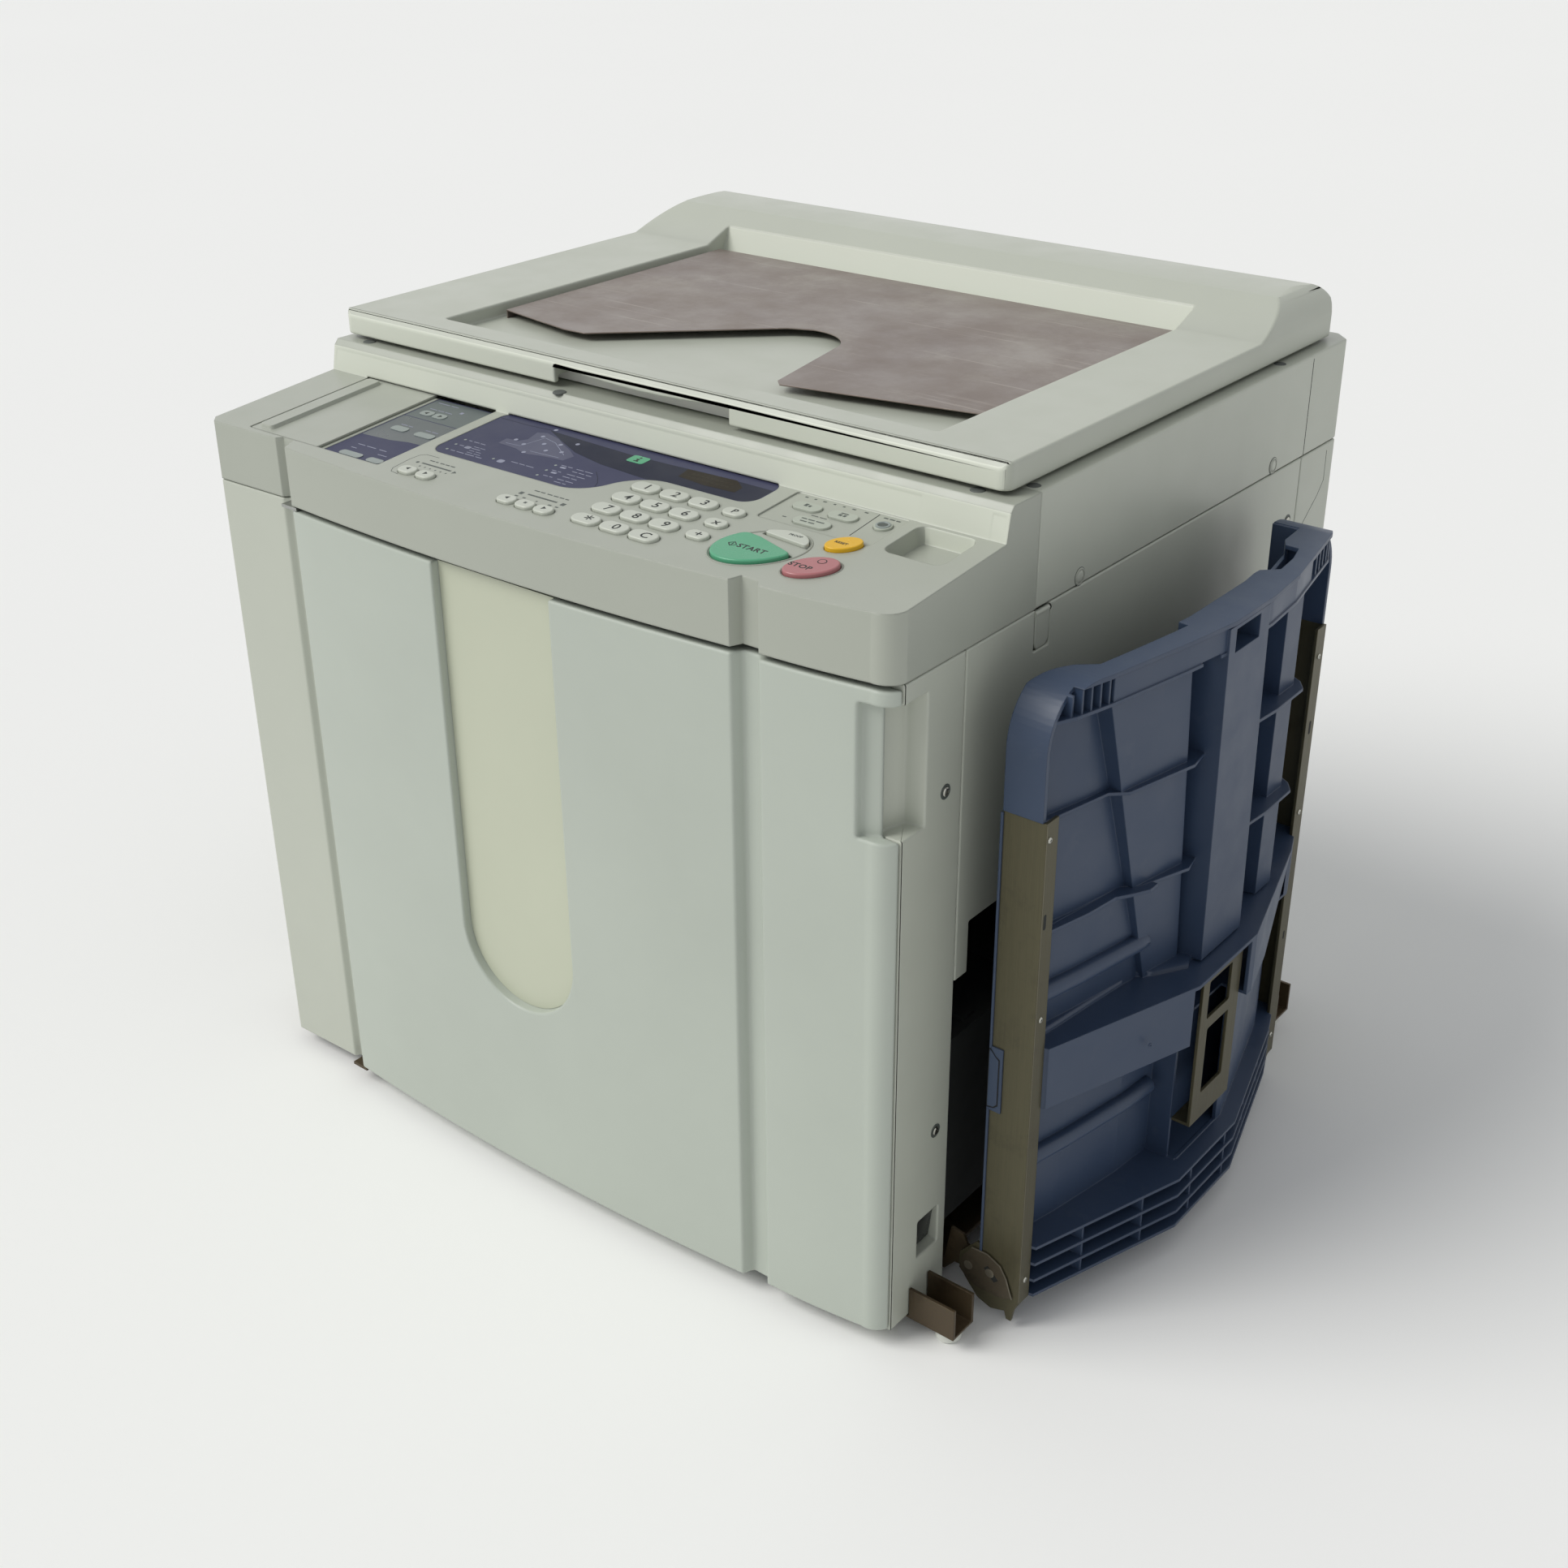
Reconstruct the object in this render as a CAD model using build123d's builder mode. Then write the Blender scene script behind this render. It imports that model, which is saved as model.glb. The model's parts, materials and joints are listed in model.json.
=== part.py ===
"""Digital duplicator: desk-side stencil printer with a flatbed scanner on top.

Units are millimetres. Z is up, the control panel faces -Y and the paper comes
out on the right, at +X. The origin is on the floor under the middle.
"""
from build123d import *
import math
import os

os.makedirs("parts", exist_ok=True)

# Main sizes
half_width = 332.5
front_y = -330.5
rear_y = 330.5
foot_height = 12
body_bottom = 14
parting_z = 545
body_top = parting_z - 0.5
upper_bottom = parting_z + 0.5
wall = 3
deck_top = 629

# Plan of the front: a fixed strip, a bowed cover and a narrow right strip, with a groove each side of the bow
groove_left = -252
bow_left = -230
bow_right = 209
strip_right = 231
corner_start = 314
corner_end_y = -296
seam_front = -298.5
pillar_rear = -229.5
rear_seam = 256

# Control panel: a plane that rises towards the back
panel_front_z = 591.6
panel_rear_y = -187
panel_rear_z = 604
ledge_y = -182
panel_back = -147
panel_skin = 5
slope = math.atan2(panel_rear_z - panel_front_z, panel_rear_y - front_y)
panel_plane = Plane(origin=(0, front_y, panel_front_z), x_dir=(1, 0, 0),
                    z_dir=(0, -math.sin(slope), math.cos(slope)))
key_gap = 0.5
key_above = 2.4
key_below = 6.5

# Lid of the scanner
lid_left = -331
lid_right = 322
lid_front = -171.5
lid_rear = 313.5
lid_bottom = 632
lid_top = 652
lid_hump_top = 676
lid_axis_y = 308
lid_axis_z = 641
lid_pin_radius = 4

# Running fit of a pin in its hole
running_gap = 0.06

# Front cover
cover_left = -240
cover_bottom = 17
cover_top = 541
cover_axis_x = -234
cover_axis_y = -315.5
cover_pin_radius = 3
inset_centre_x = -7
inset_half_width = 59
inset_bottom = 178
inset_floor_y = -321.5

# Paper path and drum
drum_x = 10
drum_z = 360
drum_radius = 88
roller_radius = 22
roller_gap = 0.6
front_plate_y = -260
rear_plate_y = 230
plate_thickness = 4

# Receiving tray, folded up against the right side
tray_axis_x = 355.5
tray_axis_z = 44
tray_front = -229.5
tray_rear = 189.5
tray_middle = (tray_front + tray_rear) / 2
tray_bottom = 26
tray_top = 530
tray_inner_x = 374
rail_inner_x = 368
rail_outer_x = 399
rail_top = 438
rail_sheet = 2.5
rail_flange = 15
band_x = 397
shelf_z = 252
keel_x = 447.5

# Feed tray, folded up against the left side
feed_axis_x = -350
feed_axis_z = 205
feed_front = -190
feed_rear = 130
feed_bottom = 190
feed_top = 530
feed_outer_x = -447.5
feed_plate = 16


def keep(piece, name):
    """Label a finished piece and write it."""
    piece.label = name
    export_step(piece, f"parts/{name}.step")


def cut_box(x0, x1, y0, y1, z0, z1):
    """Cut a box given by its sides from the part being built."""
    with Locations(((x0 + x1) / 2, (y0 + y1) / 2, (z0 + z1) / 2)):
        Box(x1 - x0, y1 - y0, z1 - z0, mode=Mode.SUBTRACT)


def add_box(x0, x1, y0, y1, z0, z1):
    """Add a box given by its sides to the part being built."""
    with Locations(((x0 + x1) / 2, (y0 + y1) / 2, (z0 + z1) / 2)):
        Box(x1 - x0, y1 - y0, z1 - z0)


def rod(x, z, y0, y1, radius, mode=Mode.ADD):
    """Round bar or hole along Y."""
    with BuildSketch(Plane.XZ.offset(-y0)) as end:
        with Locations((x, z)):
            Circle(radius)
    extrude(end.sketch, amount=-(y1 - y0), mode=mode)


def window(x0, x1, y0, y1):
    """Rectangle between two corners."""
    with Locations(((x0 + x1) / 2, (y0 + y1) / 2)):
        Rectangle(x1 - x0, y1 - y0)


# Plan outline of the whole body
with BuildSketch() as footprint:
    with BuildLine():
        Polyline((strip_right, -317.5), (227, -311.5), (213, -311.5), (bow_right, -320.5))
        ThreePointArc((bow_right, -320.5), (-5, front_y), (bow_left, -322.5))
        Polyline((bow_left, -322.5), (-235, -309), (-248, -309), (groove_left, -313.5),
                 (-326, -315), (-half_width, -308.5), (-half_width, rear_y - 12),
                 (-half_width + 12, rear_y), (half_width - 12, rear_y),
                 (half_width, rear_y - 12), (half_width, corner_end_y))
        ThreePointArc((half_width, corner_end_y), (327.5, -305.2), (corner_start, -309.5))
        ThreePointArc((corner_start, -309.5), (275, -314.5), (strip_right, -317.5))
    make_face()

with BuildSketch() as inner_footprint:
    add(footprint.sketch)
    offset(amount=-wall, mode=Mode.REPLACE)


def body_shell(x0, x1, y0, y1, z0, z1):
    """The part of the body's outer wall that lies in a window of the plan."""
    with BuildSketch(Plane.XY.offset(z0)) as ring:
        add(footprint.sketch)
        add(inner_footprint.sketch, mode=Mode.SUBTRACT)
        with Locations(((x0 + x1) / 2, (y0 + y1) / 2)):
            Rectangle(x1 - x0, y1 - y0, mode=Mode.INTERSECT)
    extrude(ring.sketch, amount=z1 - z0)


def body_block(face, x0, x1, y0, y1, z0, z1, mode=Mode.ADD):
    """A solid block of the plan outline, or of its inner outline."""
    with BuildSketch(Plane.XY.offset(z0)) as plan:
        add(face)
        with Locations(((x0 + x1) / 2, (y0 + y1) / 2)):
            Rectangle(x1 - x0, y1 - y0, mode=Mode.INTERSECT)
    extrude(plan.sketch, amount=z1 - z0, mode=mode)


# Left cover: the left side and the fixed strip of the front, one moulding
with BuildPart() as left_side_cover:
    body_shell(-340, -244, -340, rear_seam, body_bottom, body_top)
    cut_box(-340, -320, -200, 140, 120, 330)
    for shelf in (420, 440):
        cut_box(-333.5, -331.5, -150, 120, shelf, shelf + 1.2)
keep(left_side_cover.part, "left_side_cover")

# Right pillar: the narrow panel beside the front cover, with the hand recess and the switch socket
switch_y = -252.5
switch_z = 79
with BuildPart() as right_pillar:
    body_block(footprint.sketch, 296, 340, seam_front + 1, pillar_rear, body_bottom, body_top)
    cut_box(290, half_width - wall, seam_front + 4, pillar_rear - wall, 112, 418)
    cut_box(290, half_width - wall, -276, pillar_rear + 5, body_bottom - 1, 46)
    with BuildSketch(Plane.XY.offset(432)):
        with BuildLine():
            Polyline((340, -304), (340, -271.5), (half_width, -271.5), (318, -275),
                     (314, -290), (314, -304), (340, -304))
        make_face()
    extrude(amount=98, mode=Mode.SUBTRACT)
    cut_box(316, 340, switch_y - 13, switch_y + 13, switch_z - 17, switch_z + 17)
    rod(321.5, switch_z, switch_y - 17, switch_y + 17, 2 + running_gap, Mode.SUBTRACT)
keep(right_pillar.part, "right_pillar")

# Power switch: a rocker that rests with its lower half pressed in
rocker_tilt = 7
upright_plane = Plane(origin=(321.5, switch_y, switch_z), x_dir=(0, 1, 0), z_dir=(1, 0, 0))
rocker_plane = upright_plane.rotated((0, rocker_tilt, 0))
with BuildPart() as power_switch:
    with BuildSketch(rocker_plane):
        Rectangle(24, 30)
    extrude(amount=5.5)
    fillet(power_switch.faces().sort_by(Axis.X)[-1].edges().filter_by(Axis.Y), 2)
    rod(321.5, switch_z, switch_y - 16, switch_y + 16, 2)
    rod(321.5, switch_z, switch_y - 11.9, switch_y + 11.9, 3.5)
keep(power_switch.part, "power_switch")

# Right side cover with the paper exit
exit_front = -213
exit_rear = 190
exit_top = 331
lever_axis_x = 331
lever_axis_z = 541
lever_front = -146
lever_rear = -128
with BuildPart() as right_side_cover:
    body_shell(300, 340, pillar_rear + 0.8, rear_seam, body_bottom, body_top)
    cut_box(320, 340, exit_front, exit_rear, body_bottom - 1, exit_top)
    cut_box(320, 340, pillar_rear, exit_front, body_bottom - 1, 289)
    add_box(316, half_width - wall, exit_front, exit_rear, exit_top, exit_top + wall)
    for boss_y in (-150.5, -127.2):
        add_box(327, half_width - 1, boss_y, boss_y + 3.7, 536, body_top)
    cut_box(320, 340, lever_front - 0.8, lever_rear + 0.8, 513.5, 546)
    rod(lever_axis_x, lever_axis_z, lever_front - 3, lever_rear + 3, 1.2 + running_gap, Mode.SUBTRACT)
keep(right_side_cover.part, "right_side_cover")

# Release lever of the scanner table: a flap hinged along its top edge
with BuildPart() as release_lever:
    with BuildSketch(Plane.YZ.offset(half_width - wall)):
        with BuildLine():
            Polyline((lever_rear, 537), (lever_rear, 520), (lever_rear - 3, 514.5), (lever_front + 3, 514.5),
                     (lever_front, 520), (lever_front, 537), (lever_rear, 537))
        make_face()
    extrude(amount=wall)
    rod(lever_axis_x, lever_axis_z, lever_front, lever_rear, 2.2)
    rod(lever_axis_x, lever_axis_z, lever_front - 2.8, lever_rear + 2.8, 1.2)
    add_box(half_width - wall, half_width, lever_front, lever_rear, 536, lever_axis_z)
keep(release_lever.part, "release_lever")

# Rear cover with vents and the mains inlet's cut-out
inlet_x = 250
inlet_z = 70
with BuildPart() as rear_cover:
    body_shell(-340, 340, rear_seam + 0.8, 340, body_bottom, body_top)
    with BuildSketch(Plane.XZ.offset(-rear_y - 1)):
        for column in (-180, 120):
            with Locations((column, 400)):
                with GridLocations(0, 14, 1, 8):
                    Rectangle(110, 5)
        with Locations((inlet_x, inlet_z)):
            Rectangle(48, 28)
    extrude(amount=8, mode=Mode.SUBTRACT)
keep(rear_cover.part, "rear_cover")

# Mains inlet: a shrouded three-pin socket, as a plug fits it
with BuildPart() as mains_inlet:
    add_box(inlet_x - 23.8, inlet_x + 23.8, 300, rear_y, inlet_z - 13.8, inlet_z + 13.8)
    cut_box(inlet_x - 12.5, inlet_x + 12.5, rear_y - 16, rear_y + 1, inlet_z - 8.5, inlet_z + 8.5)
    for pin_x, pin_z in ((-7, -2), (7, -2), (0, 3)):
        add_box(inlet_x + pin_x - 1, inlet_x + pin_x + 1, rear_y - 17, rear_y - 3,
                inlet_z + pin_z - 2.5, inlet_z + pin_z + 2.5)
keep(mains_inlet.part, "mains_inlet")

# Front cover: a bowed shell that turns on two upright pins in the left groove
cover_bow_depth = -290
with BuildPart() as front_cover:
    body_block(footprint.sketch, cover_left, 340, -340, seam_front, cover_bottom, cover_top)
    body_block(inner_footprint.sketch, cover_left + 17, 300, -340, cover_bow_depth,
               cover_bottom + wall, cover_top - wall, Mode.SUBTRACT)
    body_block(footprint.sketch, inset_centre_x - inset_half_width - wall,
               inset_centre_x + inset_half_width + wall, -340, inset_floor_y + wall, inset_bottom - wall, cover_top)
    with BuildSketch(Plane.XZ.offset(-inset_floor_y)):
        with Locations((inset_centre_x, inset_bottom + inset_half_width)):
            Circle(inset_half_width)
        window(inset_centre_x - inset_half_width, inset_centre_x + inset_half_width,
               inset_bottom + inset_half_width, 560)
    extrude(amount=30, mode=Mode.SUBTRACT)
    with BuildSketch(Plane.XY.offset(432)):
        with BuildLine():
            Polyline((305, -304), (311, -302), (325, -296), (340, -296), (340, -320), (305, -320),
                     (305, -304))
        make_face()
    extrude(amount=98, mode=Mode.SUBTRACT)
    with BuildSketch(Plane.XY.offset(cover_bottom)):
        with Locations((cover_axis_x, cover_axis_y)):
            Circle(cover_pin_radius + running_gap)
    extrude(amount=8, mode=Mode.SUBTRACT)
    with BuildSketch(Plane.XY.offset(cover_top)):
        with Locations((cover_axis_x, cover_axis_y)):
            Circle(cover_pin_radius + running_gap)
    extrude(amount=-8, mode=Mode.SUBTRACT)
keep(front_cover.part, "front_cover")

# Cream panel let into the front cover
with BuildPart() as cover_inset:
    with BuildSketch(Plane.XZ.offset(-inset_floor_y)):
        with Locations((inset_centre_x, inset_bottom + inset_half_width)):
            Circle(inset_half_width - 0.5)
        window(inset_centre_x - inset_half_width + 0.5, inset_centre_x + inset_half_width - 0.5,
               inset_bottom + inset_half_width, cover_top - 0.5)
    extrude(amount=1.5)
keep(cover_inset.part, "cover_inset")

# Base plate with its foot brackets, hinge ears and cover pin
foot_x = 361
foot_y = 262
with BuildPart() as base_plate:
    add_box(-322, 322, -252, 318, 20.5, 23.5)
    for side_x in (-1, 1):
        for side_y in (-1, 1):
            for web in (foot_y - 13, foot_y + 11):
                add_box(*sorted((side_x * (half_width + 1), side_x * (foot_x + 13))),
                        *sorted((side_y * web, side_y * (web + 2.5))), foot_height, 40)
            add_box(*sorted((side_x * 290, side_x * (foot_x + 13))),
                    *sorted((side_y * (foot_y - 13), side_y * (foot_y + 13.5))),
                    foot_height, body_bottom - 0.2)
            add_box(*sorted((side_x * 290, side_x * 318)),
                    *sorted((side_y * (foot_y - 20), side_y * (foot_y - 10))), foot_height, 23.5)
    for ear_y in (tray_front + 7.5, tray_rear - 10):
        with BuildSketch(Plane.XZ.offset(-ear_y)):
            with BuildLine():
                Polyline((300, 21), (329, 21), (338, 32), (360, 34), (364, 44), (360, 52), (349, 54),
                         (345, 62), (334, 64), (328, 30), (300, 30), (300, 21))
            make_face()
        extrude(amount=-2.5)
    rod(tray_axis_x, tray_axis_z, tray_front + 1.5, tray_front + 9.5, 4)
    rod(tray_axis_x, tray_axis_z, tray_rear - 9.5, tray_rear - 1.5, 4)
    add_box(-243.5, -226, -322, -240, 14, 16.6)
    add_box(-243.5, -226, -252, -240, 14, 23.5)
    with Locations((cover_axis_x, cover_axis_y, 19)):
        Cylinder(cover_pin_radius, 10)
keep(base_plate.part, "base_plate")

# Rubber feet
with BuildPart() as feet:
    with BuildSketch():
        with GridLocations(2 * foot_x, 2 * foot_y, 2, 2):
            Circle(10)
    extrude(amount=foot_height)
    chamfer(feet.faces().filter_by(Axis.Z).group_by(Axis.Z)[0].edges(), 2)
keep(feet.part, "feet")

# Main frame: two steel plates joined by bars, which carries the drum and the rollers
bar_spots = ((-300, 205), (-300, 45), (284, 45), (284, 525), (-140, 525))
impression_z = drum_z - drum_radius - roller_radius - roller_gap
master_x = 200
master_z = 485
feed_x = -255
feed_z = 300
with BuildPart() as main_frame:
    for plate_y, plate_right in ((front_plate_y, 294), (rear_plate_y, 316)):
        with BuildSketch(Plane.XZ.offset(-plate_y)):
            window(-316, plate_right, 23.5, 540.5)
            with Locations((drum_x, impression_z)):
                Circle(6 + running_gap, mode=Mode.SUBTRACT)
            with Locations((master_x, master_z), (feed_x, feed_z)):
                Circle(5 + running_gap, mode=Mode.SUBTRACT)
            if plate_y == front_plate_y:
                with Locations((drum_x, drum_z)):
                    Circle(drum_radius + 8, mode=Mode.SUBTRACT)
                    Rectangle(2 * drum_radius + 22, 26)
            with Locations((drum_x, drum_z)):
                Circle(8 + running_gap, mode=Mode.SUBTRACT)
        extrude(amount=-plate_thickness)
    for bar_x, bar_z in bar_spots:
        add_box(bar_x - 8, bar_x + 8, front_plate_y, rear_plate_y + 1, bar_z - 8, bar_z + 8)
    for ear_y in (feed_front + 5.6, feed_rear - 9.6):
        add_box(-362, -300, ear_y, ear_y + 4, feed_axis_z - 12, feed_axis_z + 12)
    rod(feed_axis_x, feed_axis_z, feed_front, feed_front + 7, 5)
    rod(feed_axis_x, feed_axis_z, feed_rear - 7, feed_rear, 5)
    add_box(-243.5, -226, -322, front_plate_y + 1, 541.6, 544.2)
    add_box(-243.5, -226, front_plate_y, front_plate_y + plate_thickness, 500, 544.2)
    with Locations((cover_axis_x, cover_axis_y, 539.5)):
        Cylinder(cover_pin_radius, 9)
keep(main_frame.part, "main_frame")

# Print drum: a thin-walled cylinder between two end discs, with its shaft and driven wheel
drum_skin = 2
with BuildPart() as print_drum:
    rod(drum_x, drum_z, -250, 200, drum_radius)
    rod(drum_x, drum_z, -250, -242, drum_radius - 8, Mode.SUBTRACT)
    rod(drum_x, drum_z, -234, 196, drum_radius - drum_skin, Mode.SUBTRACT)
    rod(drum_x, drum_z, -268, 244, 8)
    rod(drum_x, drum_z, 236, 244, drum_radius - 0.2)
    with BuildSketch(Plane.XZ.offset(242)):
        with Locations((drum_x, drum_z)):
            with PolarLocations(52, 6):
                Circle(15)
    extrude(amount=-5, mode=Mode.SUBTRACT)
keep(print_drum.part, "print_drum")

# Impression roller under the drum
with BuildPart() as impression_roller:
    rod(drum_x, impression_z, -240, 200, roller_radius)
    rod(drum_x, impression_z, -266, 244, 6)
    rod(drum_x, impression_z, 236, 244, roller_radius - 0.2)
keep(impression_roller.part, "impression_roller")

# Roll of master film
with BuildPart() as master_roll:
    rod(master_x, master_z, -150, 130, 42)
    rod(master_x, master_z, -266, 236, 5)
    rod(master_x, master_z, -162, 142, 12)
keep(master_roll.part, "master_roll")

# Paper feed roller
with BuildPart() as feed_roller:
    rod(feed_x, feed_z, -266, 236, 5)
    rod(feed_x, feed_z, -65, 5, 18)
keep(feed_roller.part, "feed_roller")

# Main motor on the rear plate
with BuildPart() as drive_motor:
    rod(-150, 250, rear_plate_y + plate_thickness, 296, 38)
    rod(-150, 250, rear_plate_y + plate_thickness, 246, 46)
keep(drive_motor.part, "drive_motor")

# Box that collects used masters
with BuildPart() as master_disposal_box:
    add_box(-324, -160, -150, 120, 420, 512)
    cut_box(-321, -163, -147, 117, 423, 520)
    add_box(-326, -321, -40, 10, 470, 480)
keep(master_disposal_box.part, "master_disposal_box")

# Delivery deck inside the paper exit: sloping plates with raised belts, and the inner side plate
belt_places = (-190, -110, -30, 50, 130)
with BuildPart() as exit_deck:
    with BuildSketch(Plane.XZ.offset(-front_plate_y - plate_thickness)):
        with BuildLine():
            Polyline((80, 238), (322, 226), (322, 60), (319, 60), (319, 223), (80, 235), (80, 238))
        make_face()
    extrude(amount=-(rear_plate_y - front_plate_y - plate_thickness))
    for belt_y in belt_places:
        with BuildSketch(Plane.XZ.offset(-belt_y)):
            with BuildLine():
                Polyline((90, 237.4), (316, 226.2), (316, 229.2), (90, 240.4), (90, 237.4))
            make_face()
        extrude(amount=-16)
    cut_box(290, 330, -260, -226, 50, 245)
keep(exit_deck.part, "exit_deck")

# Scanner table and control panel, which slide to the left on top of the body


def panel_at(x, y):
    """A point of the plan, as it lies in the sloping plane of the panel."""
    return (x, (y - front_y) / math.cos(slope))


def panel_side(drop, ledge_drop, back):
    """Side profile of the panel housing, lowered by the thickness of its skin."""
    rise = (panel_rear_z - panel_front_z) / (panel_rear_y - front_y)
    with BuildSketch(Plane.YZ.offset(-half_width - 5)) as side:
        with BuildLine():
            Polyline((front_y - 6, upper_bottom - drop), (front_y - 6, panel_front_z - 6 * rise - drop),
                     (panel_rear_y, panel_rear_z - drop), (ledge_y - 1, deck_top - 5 - ledge_drop),
                     (ledge_y + 3, deck_top - 0.5 - ledge_drop), (back, deck_top - 0.5 - ledge_drop),
                     (back, upper_bottom - drop), (front_y - 6, upper_bottom - drop))
        make_face()
    return side.sketch


key_size = (24, 13)
small_key_size = (18, 11)
arrow_key_size = (16.5, 11)
pad_columns = (66.5, 93, 119.5)
pad_rows = (-240, -260.5, -281, -301.5)
pad_names = (("1", "2", "3"), ("4", "5", "6"), ("7", "8", "9"), ("star", "0", "c"))
side_keys = (("p", 147.5, -240.5), ("times", 148.5, -260.5), ("plus", 150, -281.5))
arrow_keys = (("speed_down", -109.5), ("speed_up", -91), ("position_left", -6.5),
              ("position_centre", 11.5), ("position_right", 29.5))
arrow_row = -305.5
mode_keys_at = ((183.5, -205.5, 23), (214, -205.5, 23), (202, -224.5, 30))
mode_dial_at = (246.5, -204.5)
start_centre = (197, -274)
start_axes = (33, 23.5)
stop_centre = (246, -281.5)
stop_axes = (19, 12.5)
reset_centre = (243.5, -243.5)
reset_axes = (13, 9)
key_turn = 47


def slot_key(x, y, size, gap=0):
    """Outline of a long key or of its hole."""
    with Locations(panel_at(x, y)):
        SlotOverall(size[0] + 2 * gap, size[1] + 2 * gap)


def oval_key(centre, axes, gap=0):
    """Outline of an oval key or of its hole, turned on the panel."""
    with Locations(panel_at(*centre)):
        Ellipse(axes[0] + gap, axes[1] + gap, rotation=key_turn)


def half_oval(points, gap=0):
    """The part of the start oval on one side of a line, for the start and proof keys."""
    with BuildSketch(mode=Mode.PRIVATE) as one_side:
        with BuildLine():
            Polyline(*[panel_at(*point) for point in points], close=True)
        make_face()
        if gap:
            offset(amount=gap, kind=Kind.INTERSECTION)
    with BuildSketch(mode=Mode.PRIVATE) as part_of_oval:
        oval_key(start_centre, start_axes, gap)
        add(one_side.sketch, mode=Mode.INTERSECT)
    add(part_of_oval.sketch)


start_side = ((150, -258), (190, -263.5), (240, -279), (240, -320), (150, -320))
proof_side = ((185, -255), (240, -260.5), (240, -230), (185, -230))

# The indicator window: wide at the left, with an S-shaped step up to the right
display_left = -128
display_right = 147
display_top = -183.5
display_bottom = -268
display_step = -223


def display_outline(gap=0):
    """Outline of the indicator window."""
    with BuildSketch(mode=Mode.PRIVATE) as outline:
        with BuildLine():
            Line(panel_at(display_left + 10, display_top), panel_at(display_right - 12, display_top))
            ThreePointArc(panel_at(display_right - 12, display_top),
                          panel_at(display_right - 3.5, display_top - 3.5),
                          panel_at(display_right, display_top - 12))
            Line(panel_at(display_right, display_top - 12), panel_at(display_right, display_step + 14))
            ThreePointArc(panel_at(display_right, display_step + 14),
                          panel_at(display_right - 4, display_step + 4),
                          panel_at(display_right - 14, display_step))
            Line(panel_at(display_right - 14, display_step), panel_at(75, display_step))
            ThreePointArc(panel_at(75, display_step), panel_at(52, -229.5), panel_at(38, -245))
            ThreePointArc(panel_at(38, -245), panel_at(25, -262), panel_at(4, display_bottom))
            Line(panel_at(4, display_bottom), panel_at(display_left + 12, display_bottom))
            ThreePointArc(panel_at(display_left + 12, display_bottom),
                          panel_at(display_left + 3.5, display_bottom + 3.5),
                          panel_at(display_left, display_bottom + 12))
            Line(panel_at(display_left, display_bottom + 12), panel_at(display_left, display_top - 10))
            ThreePointArc(panel_at(display_left, display_top - 10),
                          panel_at(display_left + 3, display_top - 3),
                          panel_at(display_left + 10, display_top))
        make_face()
        if gap:
            offset(amount=-gap)
    add(outline.sketch)


def panel_window(x0, x1, y0, y1, radius):
    """Rounded rectangle on the panel, between two corners of the plan."""
    low = panel_at(x0, y0)
    high = panel_at(x1, y1)
    with Locations(((low[0] + high[0]) / 2, (low[1] + high[1]) / 2)):
        RectangleRounded(high[0] - low[0], high[1] - low[1], radius)


slide_pocket = (-290, -139.5, -308.5, -183)
sub_window = (-205, -141.5, -306.5, -186)
slide_cover_depth = 2.2

with BuildPart() as panel_hollow:
    extrude(panel_side(panel_skin, wall, panel_back - wall), amount=2 * half_width + 10)
    body_block(inner_footprint.sketch, -340, 340, -340, panel_back, upper_bottom - 10, 640, Mode.INTERSECT)
    cut_box(263, 319, -240, -180, 575, 640)

with BuildPart() as panel_housing:
    extrude(panel_side(0, 0, panel_back), amount=2 * half_width + 10)
    body_block(footprint.sketch, -340, 340, -340, panel_back, upper_bottom, 640, Mode.INTERSECT)
    add(panel_hollow.part, mode=Mode.SUBTRACT)
    cut_box(-322, 328, -152, -140, upper_bottom - 1, 549)
    with BuildSketch(panel_plane.offset(1)):
        display_outline()
    extrude(amount=-2.6, mode=Mode.SUBTRACT)
    with BuildSketch(panel_plane.offset(1)):
        panel_window(*slide_pocket, 2)
    extrude(amount=-1 - slide_cover_depth, mode=Mode.SUBTRACT)
    with BuildSketch(panel_plane.offset(1)):
        panel_window(*sub_window, 1.5)
    extrude(amount=-4.7, mode=Mode.SUBTRACT)
    with BuildSketch(panel_plane.offset(1)):
        panel_window(162, 257.5, -235, -188, 3)
    extrude(amount=-2, mode=Mode.SUBTRACT)
    with BuildSketch(panel_plane.offset(1)):
        panel_window(267, 315, -236, -190, 8)
    extrude(amount=-13, taper=12, mode=Mode.SUBTRACT)
    with BuildSketch(panel_plane.offset(1)):
        for row_y in pad_rows:
            for column_x in pad_columns:
                slot_key(column_x, row_y, key_size, key_gap)
        for _, key_x, key_y in side_keys:
            slot_key(key_x, key_y, small_key_size, key_gap)
        for _, key_x in arrow_keys:
            slot_key(key_x, arrow_row, arrow_key_size, key_gap)
        for key_x, key_y, key_length in mode_keys_at:
            slot_key(key_x, key_y, (key_length, 11), 0.2)
        with Locations(panel_at(*mode_dial_at)):
            Circle(6.7)
        oval_key(stop_centre, stop_axes, key_gap)
        oval_key(reset_centre, reset_axes, key_gap)
        half_oval(start_side, key_gap)
        half_oval(proof_side, key_gap)
    extrude(amount=-12, mode=Mode.SUBTRACT)
keep(panel_housing.part, "panel_housing")

# Indicator window and function window
with BuildPart() as display_panel:
    with BuildSketch(panel_plane.offset(-1.6)):
        display_outline(0.2)
    extrude(amount=1.3)
    with BuildSketch(panel_plane.offset(-3.7)):
        panel_window(sub_window[0] + 0.2, sub_window[1] - 0.2, sub_window[2] + 0.2, sub_window[3] - 0.2, 1.3)
    extrude(amount=1.2)
keep(display_panel.part, "display_panel")

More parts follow.
